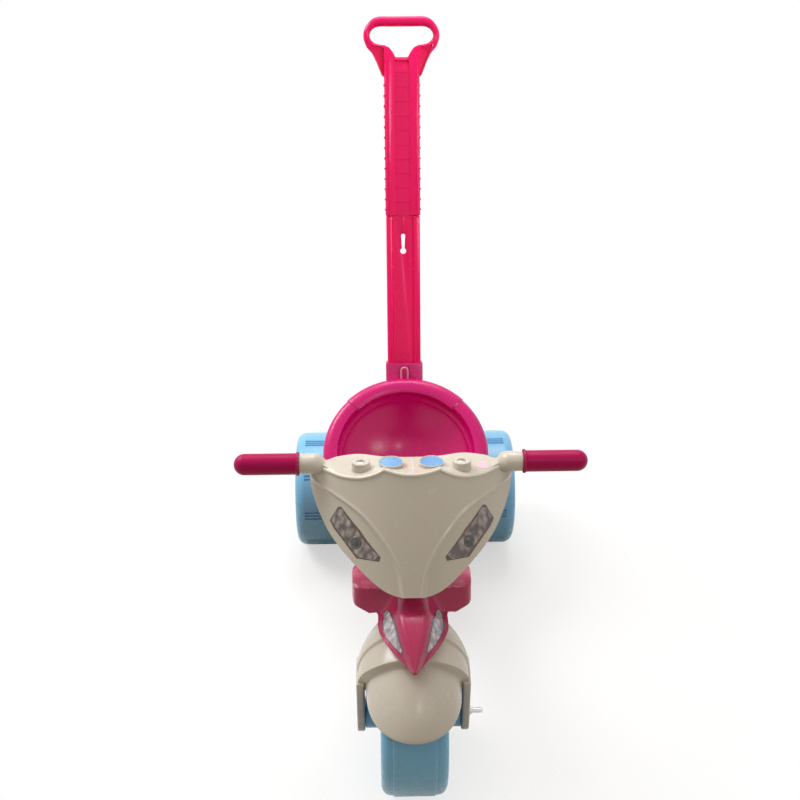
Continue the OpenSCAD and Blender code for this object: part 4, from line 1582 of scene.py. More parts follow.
@dataclass(frozen=True)
class Dash:
    """The dash top with its scalloped front lip, dial pods and screw bosses."""

    layout: Layout
    fairing: Fairing
    half_w: float = 120.0
    wall: float = 3.0
    lip: float = 3.4
    overhang: float = 1.2
    dial: tuple[float, float, float] = (25.0, -33.0, 16.0)
    dial_h: float = 7.0
    boss: tuple[float, float, float] = (62.0, -34.0, 12.0)
    boss_h: float = 9.0
    spot: tuple[float, float, float] = (89.0, -26.0, 8.0)

    def lip_point(self, x: float) -> Vector:
        """Find where the scalloped front lip ends, just outside the shield's face.

        Args:
            x: The place across.

        Returns:
            The point, in the dash's frame.
        """
        point = self.fairing.wrapped(x, self.fairing.lip_at(x), -self.overhang)
        return self.layout.dash().inverted() @ self.layout.shield() @ point

    def back_at(self, x: float) -> float:
        """Give where the back edge lies, with its two gentle humps.

        Args:
            x: The place across.

        Returns:
            The place along the dash.
        """
        edge = 10.5 * hump(abs(x), 67.0, 26.0) - 5.0 - 7.0 * ease((abs(x) - 92.0) / 14.0)
        return max(edge, self.lip_point(x).y + 9.0)

    def height_at(self, x: float, y: float) -> float:
        """Give the height of the dash's face, which rises to ridges beside the dials.

        Args:
            x: The place across.
            y: The place along the dash.

        Returns:
            The height.
        """
        end, back = self.lip_point(x), self.back_at(x)
        share = min(max((back - y) / (back - end.y), 0.0), 1.0)
        seam = hump(x, 0.0, 0.7) * ease((share - 0.08) / 0.1)
        return (end.z + self.lip) * share ** 1.6 - 0.9 * seam

    def panel(self) -> Form:
        """Lay the dash's sheet, roll its lip down and thicken it.

        Returns:
            The panel, in the dash's frame.
        """
        right = sorted({0.6, 1.3, 34.0, *(3.0 * k for k in range(1, int(self.half_w / 3.0) + 1))})
        columns = [-x for x in reversed(right)] + [0.0] + right
        rolls = [(0.0, -self.lip), (0.2, -2.2), (0.8, -1.2), (2.0, -0.5), (3.6, -0.1)]
        rows = 16

        def place(i: int, j: int) -> Vector:
            """Find a point of the sheet.

            Args:
                i: The count across it.
                j: The count from the lip to the back.

            Returns:
                The point.
            """
            x = columns[i]
            end = self.lip_point(x)
            if j < len(rolls):
                inward, drop = rolls[j]
                return Vector((x, end.y + inward, end.z + self.lip + drop))
            y = lerp(end.y + rolls[-1][0], self.back_at(x), (j - len(rolls) + 1) / rows)
            return Vector((x, y, self.height_at(x, y)))

        form = Form().sheet(len(columns) - 1, rows + len(rolls) - 1, place)
        return form.thicken(self.wall).soften(0.7, 2, 70.0)

    def pod(self) -> Form:
        """Turn the right dial pod.

        Returns:
            The pod, in the dash's frame.
        """
        x, y, reach = self.dial
        top = self.dial_h
        line = [(reach - 3.4, -2.0), (reach - 2.4, 1.5), (reach, top + 0.6), (reach - 0.9, top + 1.1),
                (reach - 1.7, top - 0.3), (0.0, top - 0.3)]
        return Form().lathe(line, Axis.Z, 56, 0.4, 2).move(Matrix.Translation((x, y, 0.0)))

    def screw_boss(self) -> Form:
        """Turn the right screw boss.

        Returns:
            The boss, in the dash's frame.
        """
        x, y, reach = self.boss
        top, recess, sink, bore, foot = self.boss_h, 4.9, self.boss_h - 2.4, 2.1, -6.0
        line = [(reach, foot), (reach - 0.6, top), (recess, top), (recess, sink), (bore, sink), (bore, foot)]
        return Form().lathe(line, Axis.Z, 48, 1.0).move(Matrix.Translation((x, y, 0.0)))

    def screw(self) -> Form:
        """Turn the right screw and cut its cross slot.

        Returns:
            The screw, in the dash's frame.
        """
        x, y, _ = self.boss
        top = self.boss_h - 0.3
        line = [(0.0, top), (3.2, top), (4.6, top - 0.9), (4.6, top - 2.0), (2.0, top - 2.0), (2.0, -5.5),
                (0.0, -6.5)]
        form = Form().lathe(line, Axis.Z, 40, 0.3, 2)
        for wide, long in ((1.0, 3.0), (3.0, 1.0)):
            form.carve(block((-long, -wide, top - 1.4), (long, wide, top + 1.0)))
        return form.move(Matrix.Translation((x, y, 0.0)))

    def disc(self, x: float, y: float, reach: float, base: float) -> Form:
        """Turn a round sticker with a softened edge.

        Args:
            x: Its place across.
            y: Its place along the dash.
            reach: Its radius.
            base: The height it lies at.

        Returns:
            The sticker, in the dash's frame.
        """
        line = [(reach, 0.0), (reach - 0.1, 0.45), (reach - 1.6, 0.5), (0.0, 0.5)]
        return Form().lathe(line, Axis.Z, 48).move(Matrix.Translation((x, y, base)))

    def build(self) -> None:
        """Build the dash and its stickers."""
        dash = self.layout.dash()
        form = self.panel().add(self.pod().mirrored()).add(self.screw_boss().mirrored()).move(dash)
        publish(form, "dash_panel", Body.STEERING, [CREAM], ["dash"], 45.0)
        x, y, reach = self.dial
        prints = self.disc(x, y, reach - 1.9, self.dial_h - 0.3).mirrored()
        spot = self.disc(*self.spot, 0.0).paint(1)
        for vert in spot.bm.verts:
            vert.co.z += self.height_at(vert.co.x, vert.co.y)
        prints.add(spot)
        publish(prints.move(dash), "dash_stickers", Body.STEERING, [DIAL, SPOT], ["dial_decals"])
        screws = self.screw().mirrored().move(dash)
        publish(screws, "dash_screw_pair", Body.STEERING, [STEEL], ["dash_screws"])


@dataclass(frozen=True)
class Handlebar:
    """The moulded handlebar: its boss on the column, its beam and the sleeves that lead to the grips."""

    layout: Layout
    head_top: float
    bore: float = 9.4
    boss_r: float = 16.0
    beam_half: tuple[float, float] = (100.0, 8.0)
    beam_z: Pair = (-21.0, -6.0)
    stub_r: float = 9.5
    stub_end: float = 209.0

    def boss(self) -> Form:
        """Turn the boss that sits on the column.

        Returns:
            The boss, in the steering frame.
        """
        low, high = self.head_top + 4.0, self.layout.bar_up + self.beam_z[1]
        line = [(0.0, high - 12.0), (0.0, high), (self.boss_r, high), (self.boss_r, low), (self.bore, low),
                (self.bore, high - 12.0)]
        return Form().lathe(line, Axis.Z, 56, 1.0).move(self.layout.steering())

    def beam(self) -> Form:
        """Make the beam behind the shield.

        Returns:
            The beam, in the bar's frame.
        """
        half, deep = self.beam_half
        low, high = self.beam_z
        line = [Vector((-half, -deep, low)), Vector((-half, deep, low)), Vector((-half, deep, high)),
                Vector((-half, -deep, high))]
        return Form().wire(line, 2.0, 3, close=True).slab(Vector((2.0 * half, 0.0, 0.0))).soften(1.0, 2, 60.0)

    def sleeve(self) -> Form:
        """Sweep the right sleeve out of the beam's end, and the stub inside the grip.

        Returns:
            The sleeve, in the bar's frame.
        """
        keys = [[94, 2, -13, 5], [101, 4, -10.5, 7.5], [107, 5.5, -6.5, 10], [113, 4, -2.5, 12.2],
                [119, 1.2, -0.4, 13], [126, 0.2, 0, 12.9], [133, 0, 0, 12.6], [138, 0, 0, 12.3]]
        rows = curve(keys, 4) + [[139.2, 0, 0, 12], [139.7, 0, 0, 11.4], [139.8, 0, 0, self.stub_r + 0.3],
                                 [140.2, 0, 0, self.stub_r], [self.stub_end - 1.0, 0, 0, self.stub_r],
                                 [self.stub_end, 0, 0, self.stub_r - 1.0]]
        turns = [math.tau * k / 48 for k in range(48)]
        return Form().loft([[Vector((x, y + r * math.cos(turn), z + r * math.sin(turn))) for turn in turns]
                            for x, y, z, r in rows])

    def build(self) -> None:
        """Build the handlebar."""
        form = self.beam().add(self.sleeve().mirrored()).move(self.layout.bar()).add(self.boss())
        publish(form, "handlebar_moulding", Body.STEERING, [CREAM], ["handlebar"])


@dataclass(frozen=True)
class Grips:
    """The two handlebar grips, turned with a flange and a domed end."""

    layout: Layout
    start: float = 140.0
    end: float = 221.0
    radius: float = 13.5
    flange: float = 1.6
    bore: float = 9.6
    hollow: float = 58.0

    def build(self) -> None:
        """Build both grips."""
        r, dome = self.radius, 14
        start, wide = self.start, r + self.flange
        line = [(start + self.hollow, 0.0), (start + self.hollow, self.bore), (start, self.bore),
                (start, wide), (start + 2.6, wide), (start + 3.6, r + 0.1)]
        line += [(lerp(start + 5.0, self.end - r, k / 10), r) for k in range(10)]
        turns = [k / dome * math.pi / 2 for k in range(dome + 1)]
        line += [(self.end - r + r * math.sin(turn), r * math.cos(turn)) for turn in turns]
        for name, side in (("grip_left", -1.0), ("grip_right", 1.0)):
            form = Form().lathe(line, Axis.X, 64)
            bmesh.ops.scale(form.bm, vec=(side, 1.0, 1.0), verts=form.bm.verts)
            publish(form.move(self.layout.bar()), name + "_moulding", Body.STEERING, [GRIP_PINK], [name])


@dataclass(frozen=True)
class Wheel:
    """One moulded wheel: hollow sides behind a lip, web, spokes and hub."""

    name: str
    node: str
    body: Body
    centre: Vector
    radius: float
    width: float
    shoulder: float
    crest: float
    crest_drop: float
    hub_in: float
    hub_out: float
    groups: int = 0
    web: float = 5.0
    hub_r: float = 20.0
    bore: float = 5.1
    lip: float = 5.0
    lip_w: float = 16.0
    tread: float = 6.5
    spokes: int = 5
    groove: float = 2.2

    def outline(self) -> list[Vector]:
        """Draw the right half of the wheel's profile, from the web out over the shoulder to the tread.

        Returns:
            The points, with x along the axle and z out from it.
        """
        half, low = self.width / 2.0, self.radius - self.crest_drop
        rim = low - self.shoulder - self.lip
        inside = half - self.lip_w
        web, floor = self.web / 2, low - self.tread
        line = [(web, self.hub_r - 4.0), (web, floor - 2.5), (web + 2.5, floor), (inside - 1.0, floor),
                (inside, floor - 1.5), (inside + 1.5, rim + 0.8), (inside + 4.0, rim), (half - 1.6, rim),
                (half, rim + 1.6)]
        bends = 8
        line += [(half - self.shoulder * (1.0 - math.cos(k / bends * math.pi / 2)),
                  low - self.shoulder * (1.0 - math.sin(k / bends * math.pi / 2))) for k in range(bends + 1)]
        if self.crest_drop:
            line += [(self.crest + 1.2, low + 0.1), (self.crest + 0.4, self.radius - 0.5),
                     (self.crest - 0.6, self.radius), (self.crest - 6.0, self.radius)]
        else:
            line += [(self.crest + 0.3, self.radius), (self.crest, self.radius)]
        return [Vector((x, 0.0, z)) for x, z in line]

    def angles(self) -> list[float]:
        """List the angles round the wheel, close together at the tread's grooves.

        Returns:
            The angles, in degrees.
        """
        if not self.groups:
            return [3.0 * k for k in range(120)]
        pitch = 360.0 / self.groups
        marks = [middle + edge for middle in (-3.33, 0.0, 3.33) for edge in (-1.05, -0.72, 0.72, 1.05)]
        gap = [lerp(marks[-1], pitch + marks[0], k / 13) for k in range(1, 13)]
        return [g * pitch + angle for g in range(self.groups) for angle in marks + gap]

    def rim(self) -> Form:
        """Turn the wheel's shell and sink the grooves of its tread.

        Returns:
            The shell.
        """
        right = self.outline()
        left = [Vector((-point.x, 0.0, point.z)) for point in reversed(right)]
        angles = self.angles()
        form = Form().wire(right + left).spin(Axis.X, len(angles))
        step = math.tau / len(angles)
        for vert in form.bm.verts:
            reach = vert.co.yz.length
            count = round(math.atan2(-vert.co.y, vert.co.z) / step) % len(angles)
            if self.groups and reach > self.radius - 0.01 and abs(vert.co.x) < self.crest + 0.1:
                if count % 24 in (1, 2, 5, 6, 9, 10):
                    reach -= self.groove
            turn = math.radians(angles[count])
            vert.co = Vector((vert.co.x, -reach * math.sin(turn), reach * math.cos(turn)))
        return form

    def hub(self) -> Form:
        """Turn the hub with its bore.

        Returns:
            The hub.
        """
        line = [(-self.hub_in, self.bore), (-self.hub_in, self.hub_r), (self.hub_out, self.hub_r),
                (self.hub_out, self.bore)]
        return Form().lathe(line, Axis.X, 64, 1.4)

    def spoke(self, turn: float) -> Form:
        """Make one spoke across the wheel's hollow.

        Args:
            turn: Its angle about the axle, in degrees.

        Returns:
            The spoke.
        """
        half = self.width / 2.0 - 8.0
        out = self.radius - self.crest_drop - self.shoulder - self.lip + 1.0
        line = [Vector((-half, -3.0, self.hub_r - 4.0)), Vector((half, -3.0, self.hub_r - 4.0)),
                Vector((half - 2.0, -3.0, out)), Vector((-half + 2.0, -3.0, out))]
        form = Form().wire(line, close=True).slab(Vector((0.0, 6.0, 0.0))).soften(1.4, 2, 50.0)
        return form.move(Matrix.Rotation(math.radians(turn), 4, "X"))

    def build(self) -> None:
        """Build the wheel."""
        form = self.rim().add(self.hub())
        for k in range(self.spokes):
            form.add(self.spoke(k * 360.0 / self.spokes))
        finish = TyrePlastic(self.name + " plastic", Slot.TYRE_BLUE, (0.19, 0.5, 0.78), 0.27, rub_and_highlight=0.03,
                             glow=0.05, centre=self.centre * MM, tread=self.radius * MM)
        publish(form.move(Matrix.Translation(self.centre)), self.name, self.body, [finish], [self.node], 32.0)


@dataclass(frozen=True)
class Seat:
    """The bucket seat: rolled rim, dished backrest, pan and the pole's socket."""

    layout: Layout
    widen: float = 1.05
    mouth_r: float = 97.0
    flare: float = 0.05
    sag: float = 5.0
    saddle_y: float = -8.0
    depth: float = 48.0
    dish_r: float = 121.0
    wall: float = 6.0
    base_z: float = 184.0
    pan_half: float = 103.5
    pan_front: float = 128.0
    socket_up: float = 36.0
    socket_low: float = -59.0
    socket_w: float = 52.6
    socket_d: float = 26.6
    socket_wall: float = 2.5
    tongue_w: float = 14.0
    tongue_root: float = 6.0

    def rim_frame(self) -> Matrix:
        """Give the frame of the rim, stretched to its full width.

        Returns:
            The frame.
        """
        return self.layout.bowl() @ Matrix.Diagonal((self.widen, 1.0, 1.0, 1.0))

    def bowl(self) -> Form:
        """Turn the rim and the dish, and cut them level above the deck.

        Returns:
            The bowl, in the trike's frame.
        """
        centre = self.dish_r - self.depth
        inner = [(r, centre - math.sqrt(self.dish_r ** 2 - r * r)) for r in (5.5 * k for k in range(17))]
        step = [(88.7, -9.0), (89.2, -7.4), (91.0, -5.4), (94.2, -1.8)]
        rim = step + [(96.1, 2.0), (96.8, 7.4), (97.8, 9.4), (100.2, 10.6), (104.5, 11.5), (109.5, 11.6),
                      (114.0, 10.6), (117.6, 8.2), (120.0, 4.4), (121.0, -0.5), (120.2, -5.2), (117.4, -9.0),
                      (112.5, -11.2), (106.5, -10.8), (101.0, -7.5)]
        outer_r = self.dish_r + self.wall
        steps = [98.0 * k / 16 for k in range(15, -1, -1)]
        outer = [(r, centre - math.sqrt(outer_r ** 2 - r ** 2)) for r in steps]
        form = Form().lathe(inner + rim + outer, Axis.Z, 144)
        for vert in form.bm.verts:
            reach = math.hypot(vert.co.x, vert.co.y)
            if reach >= self.mouth_r + 2.0:
                continue
            dish = centre - math.sqrt(self.dish_r ** 2 - reach * reach)
            if vert.co.z > dish - 2.0:
                share = (reach / self.mouth_r) ** 3
                vert.co.x *= 1.0 + self.flare * share
                vert.co.y = vert.co.y * (1.0 + self.flare * share) - self.sag * share
        form.move(self.rim_frame())
        return form.cut(Vector((0.0, 0.0, self.base_z + 1.0)), Vector((0.0, 0.0, -1.0)))

    def collar(self) -> Form:
        """Raise the pad that runs over the back of the rim to the socket.

        Returns:
            The pad, in the trike's frame.
        """
        rows = [(95.2, 2.2), (95.9, 8.0), (97.1, 10.5), (100.0, 11.9), (104.5, 12.8), (109.6, 12.9),
                (114.6, 11.8), (118.6, 9.0), (121.2, 4.8), (122.2, -0.6), (121.3, -5.6)]
        steps, spread = 60, 46.0

        def place(i: int, j: int) -> Vector:
            """Find a point of the pad.

            Args:
                i: The count along the rim.
                j: The count across it.

            Returns:
                The point.
            """
            turn = math.radians(90.0 + spread * (2.0 * i / steps - 1.0))
            reach, up = rows[j]
            sunk = 1.6 if i in (0, steps) or j in (0, len(rows) - 1) else 0.0
            mid = Vector((109.5, 0.0))
            out = Vector((reach, up)) - mid
            out = mid + out.normalized() * (out.length - sunk)
            return Vector((out.x * math.cos(turn), out.x * math.sin(turn), out.y))

        form = Form().sheet(steps, len(rows) - 1, place)
        return form.move(self.rim_frame())

    def pan_line(self) -> list[list[float]]:
        """Draw the right side of the pan's plan, from its front nose to the backrest.

        Returns:
            Rows of x and y, with y from the bowl's middle.
        """
        half, front = self.pan_half, -self.pan_front
        keys = [[0, front], [40, front + 5], [66, front + 26], [half - 9, -58], [half, -14], [half - 5, 18],
                [82.5, 44], [82.5, 104]]
        return curve(keys, 6)

    def pan(self) -> Form:
        """Build the pan as a slab with a rolled edge and a shallow saddle.

        Returns:
            The pan, in the trike's frame.
        """
        right = self.pan_line()
        line = right + [[-x, y] for x, y in reversed(right[1:])]
        edge = [(2.2, 0.0), (0.5, 2.4), (0.0, 5.0), (0.0, 10.5), (1.0, 13.8), (3.0, 16.0), (6.0, 17.0)]
        inner = [(0.86, 17.0), (0.7, 16.2), (0.5, 14.6), (0.3, 13.2), (0.12, 12.4)]
        middle = self.layout.bowl_y
        rings = []
        for inset, up in edge:
            rings.append([Vector((x, y, up)) for x, y in self.inset_line(line, inset)])
        for share, up in inner:
            rings.append([Vector((x * share, lerp(self.saddle_y, y, share), up)) for x, y in line])
        return Form().loft([[Vector((p.x, middle + p.y, self.base_z + p.z)) for p in ring] for ring in rings])

    @staticmethod
    def inset_line(line: Sequence[Sequence[float]], inset: float) -> list[tuple[float, float]]:
        """Draw a closed line inside another one.

        Args:
            line: The outer line's points.
            inset: How far inside it lies.

        Returns:
            The inner line's points.
        """
        made = []
        count = len(line)
        for k in range(count):
            before, here, after = (Vector(line[(k + d) % count]) for d in (-1, 0, 1))
            along = (after - before).normalized()
            normal = Vector((-along.y, along.x))
            made.append(tuple(here + normal * inset))
        return made

    def socket(self) -> Form:
        """Build the socket for the pole, with the window for its latch tongue.

        Returns:
            The socket, in the trike's frame.
        """
        wide = self.socket_w / 2 + self.socket_wall
        deep = self.socket_d / 2 + self.socket_wall
        form = rounded_bar(wide, deep, 4.0, self.socket_low - 3.0, self.socket_up).soften(1.0, 2, 60.0)
        above = self.socket_up + 40.0
        form.carve(rounded_bar(self.socket_w / 2, self.socket_d / 2, 1.5, self.socket_low, above))
        half, low, face = self.tongue_w / 2 + 0.8, self.tongue_root - 1.55, -deep - 2.0
        high = low + 27.4
        window = [Vector((-half, face, low)), Vector((half, face, low)), Vector((half, face, high)),
                  Vector((-half, face, high))]
        through = Vector((0.0, self.socket_wall + 2.5, 0.0))
        cutter = Form().wire(window, 7.0, 8, close=True).slab(through)
        return form.carve(cutter).move(self.layout.pole())

    def post(self) -> Form:
        """Build the foot that carries the socket on the deck.

        Returns:
            The post, in the trike's frame.
        """
        foot = self.layout.pole() @ Vector((0.0, 0.0, self.socket_low - 3.0))
        line = [Vector((-26.0, foot.y - 12.0, self.base_z)), Vector((26.0, foot.y - 12.0, self.base_z)),
                Vector((26.0, foot.y + 14.0, self.base_z)), Vector((-26.0, foot.y + 14.0, self.base_z))]
        form = Form().wire(line, 4.0, 4, close=True)
        return form.slab(Vector((0.0, 0.0, foot.z - self.base_z + 6.0)))

    def build(self) -> None:
        """Build the seat."""
        form = self.bowl().add(self.collar()).add(self.pan()).add(self.socket()).add(self.post())
        publish(form, "seat_shell", Body.FRAME, [SEAT_PINK], ["seat"], 35.0)


@dataclass(frozen=True)
class PushPole:
    """The parent push pole: a lower part with a keyhole and an upper part with a hand loop."""

    layout: Layout
    low_z: float = -58.7
    joint_z: float = 264.0
    loop_z: float = 469.0
    lower_half: float = 26.0
    lower_deep: float = 13.0
    upper_half: float = 28.0
    upper_deep: float = 14.5
    recess: float = 6.0
    web: float = 4.0
    keyhole_z: float = 210.0
    keyhole_r: float = 4.5
    keyhole_len: float = 23.0
    rib_step: float = 15.4
    ribs: int = 13
    channel: Pair = (15.5, 10.3)
    loop_half: float = 58.0
    loop_h: float = 89.0
    bar_r: float = 7.5

    def rail(self, section: Sequence[Pair], side: float, low: float, high: float) -> Form:
        """Make one rail with soft edges.

        Args:
            section: Its outline as pairs of x and y, for the right rail.
            side: -1 for the left rail and 1 for the right one.
            low: Where it starts.
            high: Where it ends.

        Returns:
            The rail, in the pole's frame.
        """
        line = [Vector((side * x, y, low)) for x, y in section]
        form = Form().wire(line, close=True).slab(Vector((0.0, 0.0, high - low)))
        form.soften(2.4, 3, 60.0, lambda edge: abs(edge.verts[0].co.z - edge.verts[1].co.z) < 0.1)
        return form.soften(0.7, 2, 20.0, lambda edge: abs(edge.verts[0].co.z - edge.verts[1].co.z) > 9.0)

    def panel(self, half: float, front: float, back: float, low: float, high: float) -> Form:
        """Make a flat panel between the rails.

        Args:
            half: Half its width.
            front: Its front face.
            back: Its back face.
            low: Where it starts.
            high: Where it ends.

        Returns:
            The panel, in the pole's frame.
        """
        line = [Vector((-half, front, low)), Vector((half, front, low)), Vector((half, front, high)),
                Vector((-half, front, high))]
        return Form().wire(line, close=True).slab(Vector((0.0, back - front, 0.0)))

    def keyhole(self) -> Form:
        """Make the keyhole's shape for carving with.

        Returns:
            The shape, in the pole's frame.
        """
        low, high, slot = self.keyhole_r, self.keyhole_r - 1.2, 2.0
        line = []
        for k in range(25):
            turn = math.radians(-240.0 + 300.0 * k / 24)
            line.append((low * math.cos(turn), low * math.sin(turn)))
        line[0], line[-1] = (-slot, low * 0.9), (slot, low * 0.9)
        for k in range(13):
            turn = math.radians(-30.0 + 240.0 * k / 12)
            line.append((high * math.cos(turn), self.keyhole_len + high * math.sin(turn)))
        points = [Vector((x, -40.0, self.keyhole_z + z)) for x, z in line]
        return Form().wire(points, close=True).slab(Vector((0.0, 80.0, 0.0)))

    def lower(self) -> Form:
        """Build the lower pole with its keyhole and the spigot on top.

        Returns:
            The lower pole, in the pole's frame.
        """
        front = self.recess - self.lower_deep
        inner = self.channel[0] + 1.0
        form = self.panel(inner, front, front + self.web, self.low_z + 2.0, self.joint_z)
        form.add(self.panel(inner, front + 1.0, self.lower_deep - 3.0, self.joint_z - 18.0, self.joint_z))
        form.add(self.panel(9.2, front + self.web + 0.3, self.lower_deep - 3.0, self.joint_z - 18.0,
                            self.joint_z + 60.0).soften(0.8, 2, 60.0))
        form.carve(self.keyhole())
        form.soften(0.5, 2, 75.0, lambda e: abs(e.verts[0].co.x) < 6.0 and abs(e.verts[1].co.x) < 6.0)
        ridge = self.panel(1.5, front - 0.9, front + 1.0, self.keyhole_z + 29.0, self.joint_z - 1.0)
        form.add(ridge.soften(0.5, 2, 60.0))
        edge, deep, inside = self.lower_half, self.lower_deep, self.channel[0]
        section = [(inside, front + self.web), (inside, front - 2.5), (edge - 9.4, 0.8 - deep),
                   (edge - 7.2, -deep), (edge - 4.0, -deep), (edge - 1.6, 0.8 - deep),
                   (edge - 0.3, 2.6 - deep), (edge, 5.0 - deep), (edge, deep), (inside, deep)]
        for side in (-1.0, 1.0):
            form.add(self.rail(section, side, self.low_z, self.joint_z))
        return form

    def ribbed_rail(self, side: float) -> Form:
        """Make one rail of the upper pole with the ribs down its outer side.

        Args:
            side: -1 for the left rail and 1 for the right one.

        Returns:
            The rail, in the pole's frame.
        """
        edge, deep, inner = self.upper_half, self.upper_deep, self.channel[1]
        section = [(inner, self.recess + self.web - deep), (inner, self.recess - deep),
                   (edge - 9.6, 0.5 - deep), (edge - 8.4, -deep), (edge - 4.6, -deep),
                   (edge - 3.4, 0.9 - deep), (edge - 2.9, 3.6 - deep), (edge - 1.4, 4.2 - deep),
                   (edge - 1.4, deep), (inner, deep)]
        form = self.rail(section, side, self.joint_z, self.loop_z + 0.5 * self.loop_h)
        root = edge - 4.0
        rib = [(root, 2.6 - deep), (edge - 0.6, 3.4 - deep), (edge, 5.0 - deep), (edge, deep - 1.0),
               (root, deep - 1.0)]
        for k in range(self.ribs):
            low = self.joint_z + 8.0 + k * self.rib_step
            line = [Vector((side * x, y, low)) for x, y in rib]
            form.add(Form().wire(line, close=True).slab(Vector((0.0, 0.0, 2.6))))
        foot, top, reach = self.loop_z + 12.0, self.loop_z + 46.0, 60.0
        wedge = [Vector((-reach, -deep - 2.0, foot)), Vector((-reach, -self.bar_r, top)),
                 Vector((-reach, -deep - 20.0, top))]
        form.carve(Form().wire(wedge, close=True).slab(Vector((2.0 * reach, 0.0, 0.0))))
        hole = [Vector((point.x, -40.0, self.loop_z + point.y)) for point in self.loop_lines()[1]]
        return form.carve(Form().wire(hole, close=True).slab(Vector((0.0, 80.0, 0.0))))

    def ladder(self) -> Form:
        """Make the channel's floor with its row of shallow cross facets and the ramp at its top.

        Returns:
            The floor, in the pole's frame.
        """
        inner = self.channel[1] + 1.0
        front = self.recess - self.upper_deep
        top, ramp = self.loop_z + 0.338 * self.loop_h, 22.0
        count = 10
        pitch = (top - ramp - self.joint_z) / count
        line = [Vector((-inner, front + self.web, self.joint_z))]
        for k in range(count):
            low = self.joint_z + k * pitch
            line += [Vector((-inner, front, low)), Vector((-inner, front + 0.7, low + pitch * 0.93))]
        line += [Vector((-inner, front, top - ramp)), Vector((-inner, front + 5.5, top)),
                 Vector((-inner, front + 5.5 + self.web, top)),
                 Vector((-inner, front + self.web, top - ramp))]
        return Form().wire(line, 0.3, 2, close=True).slab(Vector((2.0 * inner, 0.0, 0.0)))

    def loop_lines(self) -> tuple[list[Vector], list[Vector]]:
        """Draw the loop's outline and its hand hole, both from the middle of the top round to it again.

        Returns:
            The outline and the hole, with x across and y up from the loop's foot.
        """
        outer = [[0, 1], [0.3, 1], [0.56, 1], [0.74, 0.965], [0.88, 0.88], [0.97, 0.77], [0.985, 0.65],
                 [0.93, 0.54], [0.89, 0.49], [0.77, 0.4], [0.66, 0.26], [0.565, 0.11], [0.483, 0.02],
                 [0.25, 0], [0, 0]]
        hole = [[0, 0.834], [0.3, 0.834], [0.55, 0.834], [0.68, 0.815], [0.77, 0.77], [0.82, 0.7],
                [0.79, 0.63], [0.69, 0.57], [0.55, 0.545], [0.42, 0.532], [0.32, 0.485], [0.24, 0.42],
                [0.17, 0.352], [0.1, 0.341], [0, 0.341]]
        lines = []
        for keys in (outer, hole):
            right = [Vector((x * self.loop_half, y * self.loop_h)) for x, y in curve(keys, 5)]
            lines.append(right + [Vector((-p.x, p.y)) for p in reversed(right[1:-1])])
        return lines[0], lines[1]

    def loop(self) -> Form:
        """Sweep the loop's rounded section round the hand hole, with sunk panels at its neck.

        Returns:
            The loop, in the pole's frame.
        """
        outer, hole = self.loop_lines()
        rings = []
        for a, b in zip(outer, hole):
            mid, out = (a + b) / 2, (a - b)
            half = out.length / 2
            out.normalize()
            wide = ease((half - 7.5) / 5.0)
            rim, edge = lerp(half, 5.5, wide), lerp(half, 2.2, wide)
            low, high = rim - half, half - edge
            face = self.bar_r - 4.8 * wide
            arc = [math.radians(22.5 * k) for k in range(-4, 5)]
            ring = [(high + edge * math.cos(turn), self.bar_r * math.sin(turn)) for turn in arc]
            ring += [(high - 0.8 * wide, face), (low + 0.8 * wide, face)]
            ring += [(low - rim * math.cos(turn), -self.bar_r * math.sin(turn)) for turn in arc]
            ring += [(low + 0.8 * wide, -face), (high - 0.8 * wide, -face)]
            rings.append([Vector((mid.x + out.x * u, -v, self.loop_z + mid.y + out.y * u)) for u, v in ring])
        return Form().loft(rings, closed=True)

    def upper(self) -> Form:
        """Build the upper pole with its loop.

        Returns:
            The upper pole, in the pole's frame.
        """
        form = self.ribbed_rail(-1.0).add(self.ribbed_rail(1.0)).add(self.ladder())
        return form.add(self.loop())

    def build(self) -> None:
        """Build both parts of the pole."""
        pole = self.layout.pole()
        publish(self.lower().move(pole), "lower_pole_moulding", Body.POLE, [POLE_PINK], ["lower_pole"], 35.0)
        publish(self.upper().move(pole), "upper_pole_moulding", Body.POLE, [POLE_PINK], ["upper_pole"], 35.0)


@dataclass(frozen=True)
class LatchTongue:
    """The springy tongue in the socket's front wall."""

    layout: Layout
    root: float = 6.0
    length: float = 25.0
    half: float = 7.0
    face: float = -15.8
    wall: float = 2.5

    def build(self) -> None:
        """Build the tongue with its raised border, painted in a lighter pink as a highlight."""
        tip, reach = self.root + self.length - self.half, self.half - 0.3
        turns = [math.pi * k / 12 for k in range(13)]
        line = [(-self.half, self.root - 1.2), (self.half, self.root - 1.2)]
        line += [(self.half * math.cos(turn), tip + self.half * math.sin(turn)) for turn in turns]
        form = Form().wire([Vector((x, self.face, z)) for x, z in line], close=True)
        form.slab(Vector((0.0, self.wall, 0.0))).soften(0.5, 2, 60.0)
        arch = [(reach * math.cos(turn), tip + reach * math.sin(turn)) for turn in turns]
        outside = [(reach, self.root + 1.0), *arch, (-reach, self.root + 1.0)]
        inside = [(x * 0.55, lerp(z, tip, 0.42 if z > tip else 0.0)) for x, z in reversed(outside)]
        border = Form().wire([Vector((x, self.face - 2.0, z)) for x, z in outside + inside], close=True)
        # The border gets the lighter pink as a painted highlight
        form.add(border.slab(Vector((0.0, 2.8, 0.0))).soften(0.9, 3, 60.0).paint(1))
        publish(form.move(self.layout.pole()), "latch_tongue_spring", Body.LATCH, [SEAT_PINK, HIGHLIGHT_PINK],
                ["latch_tongue"])


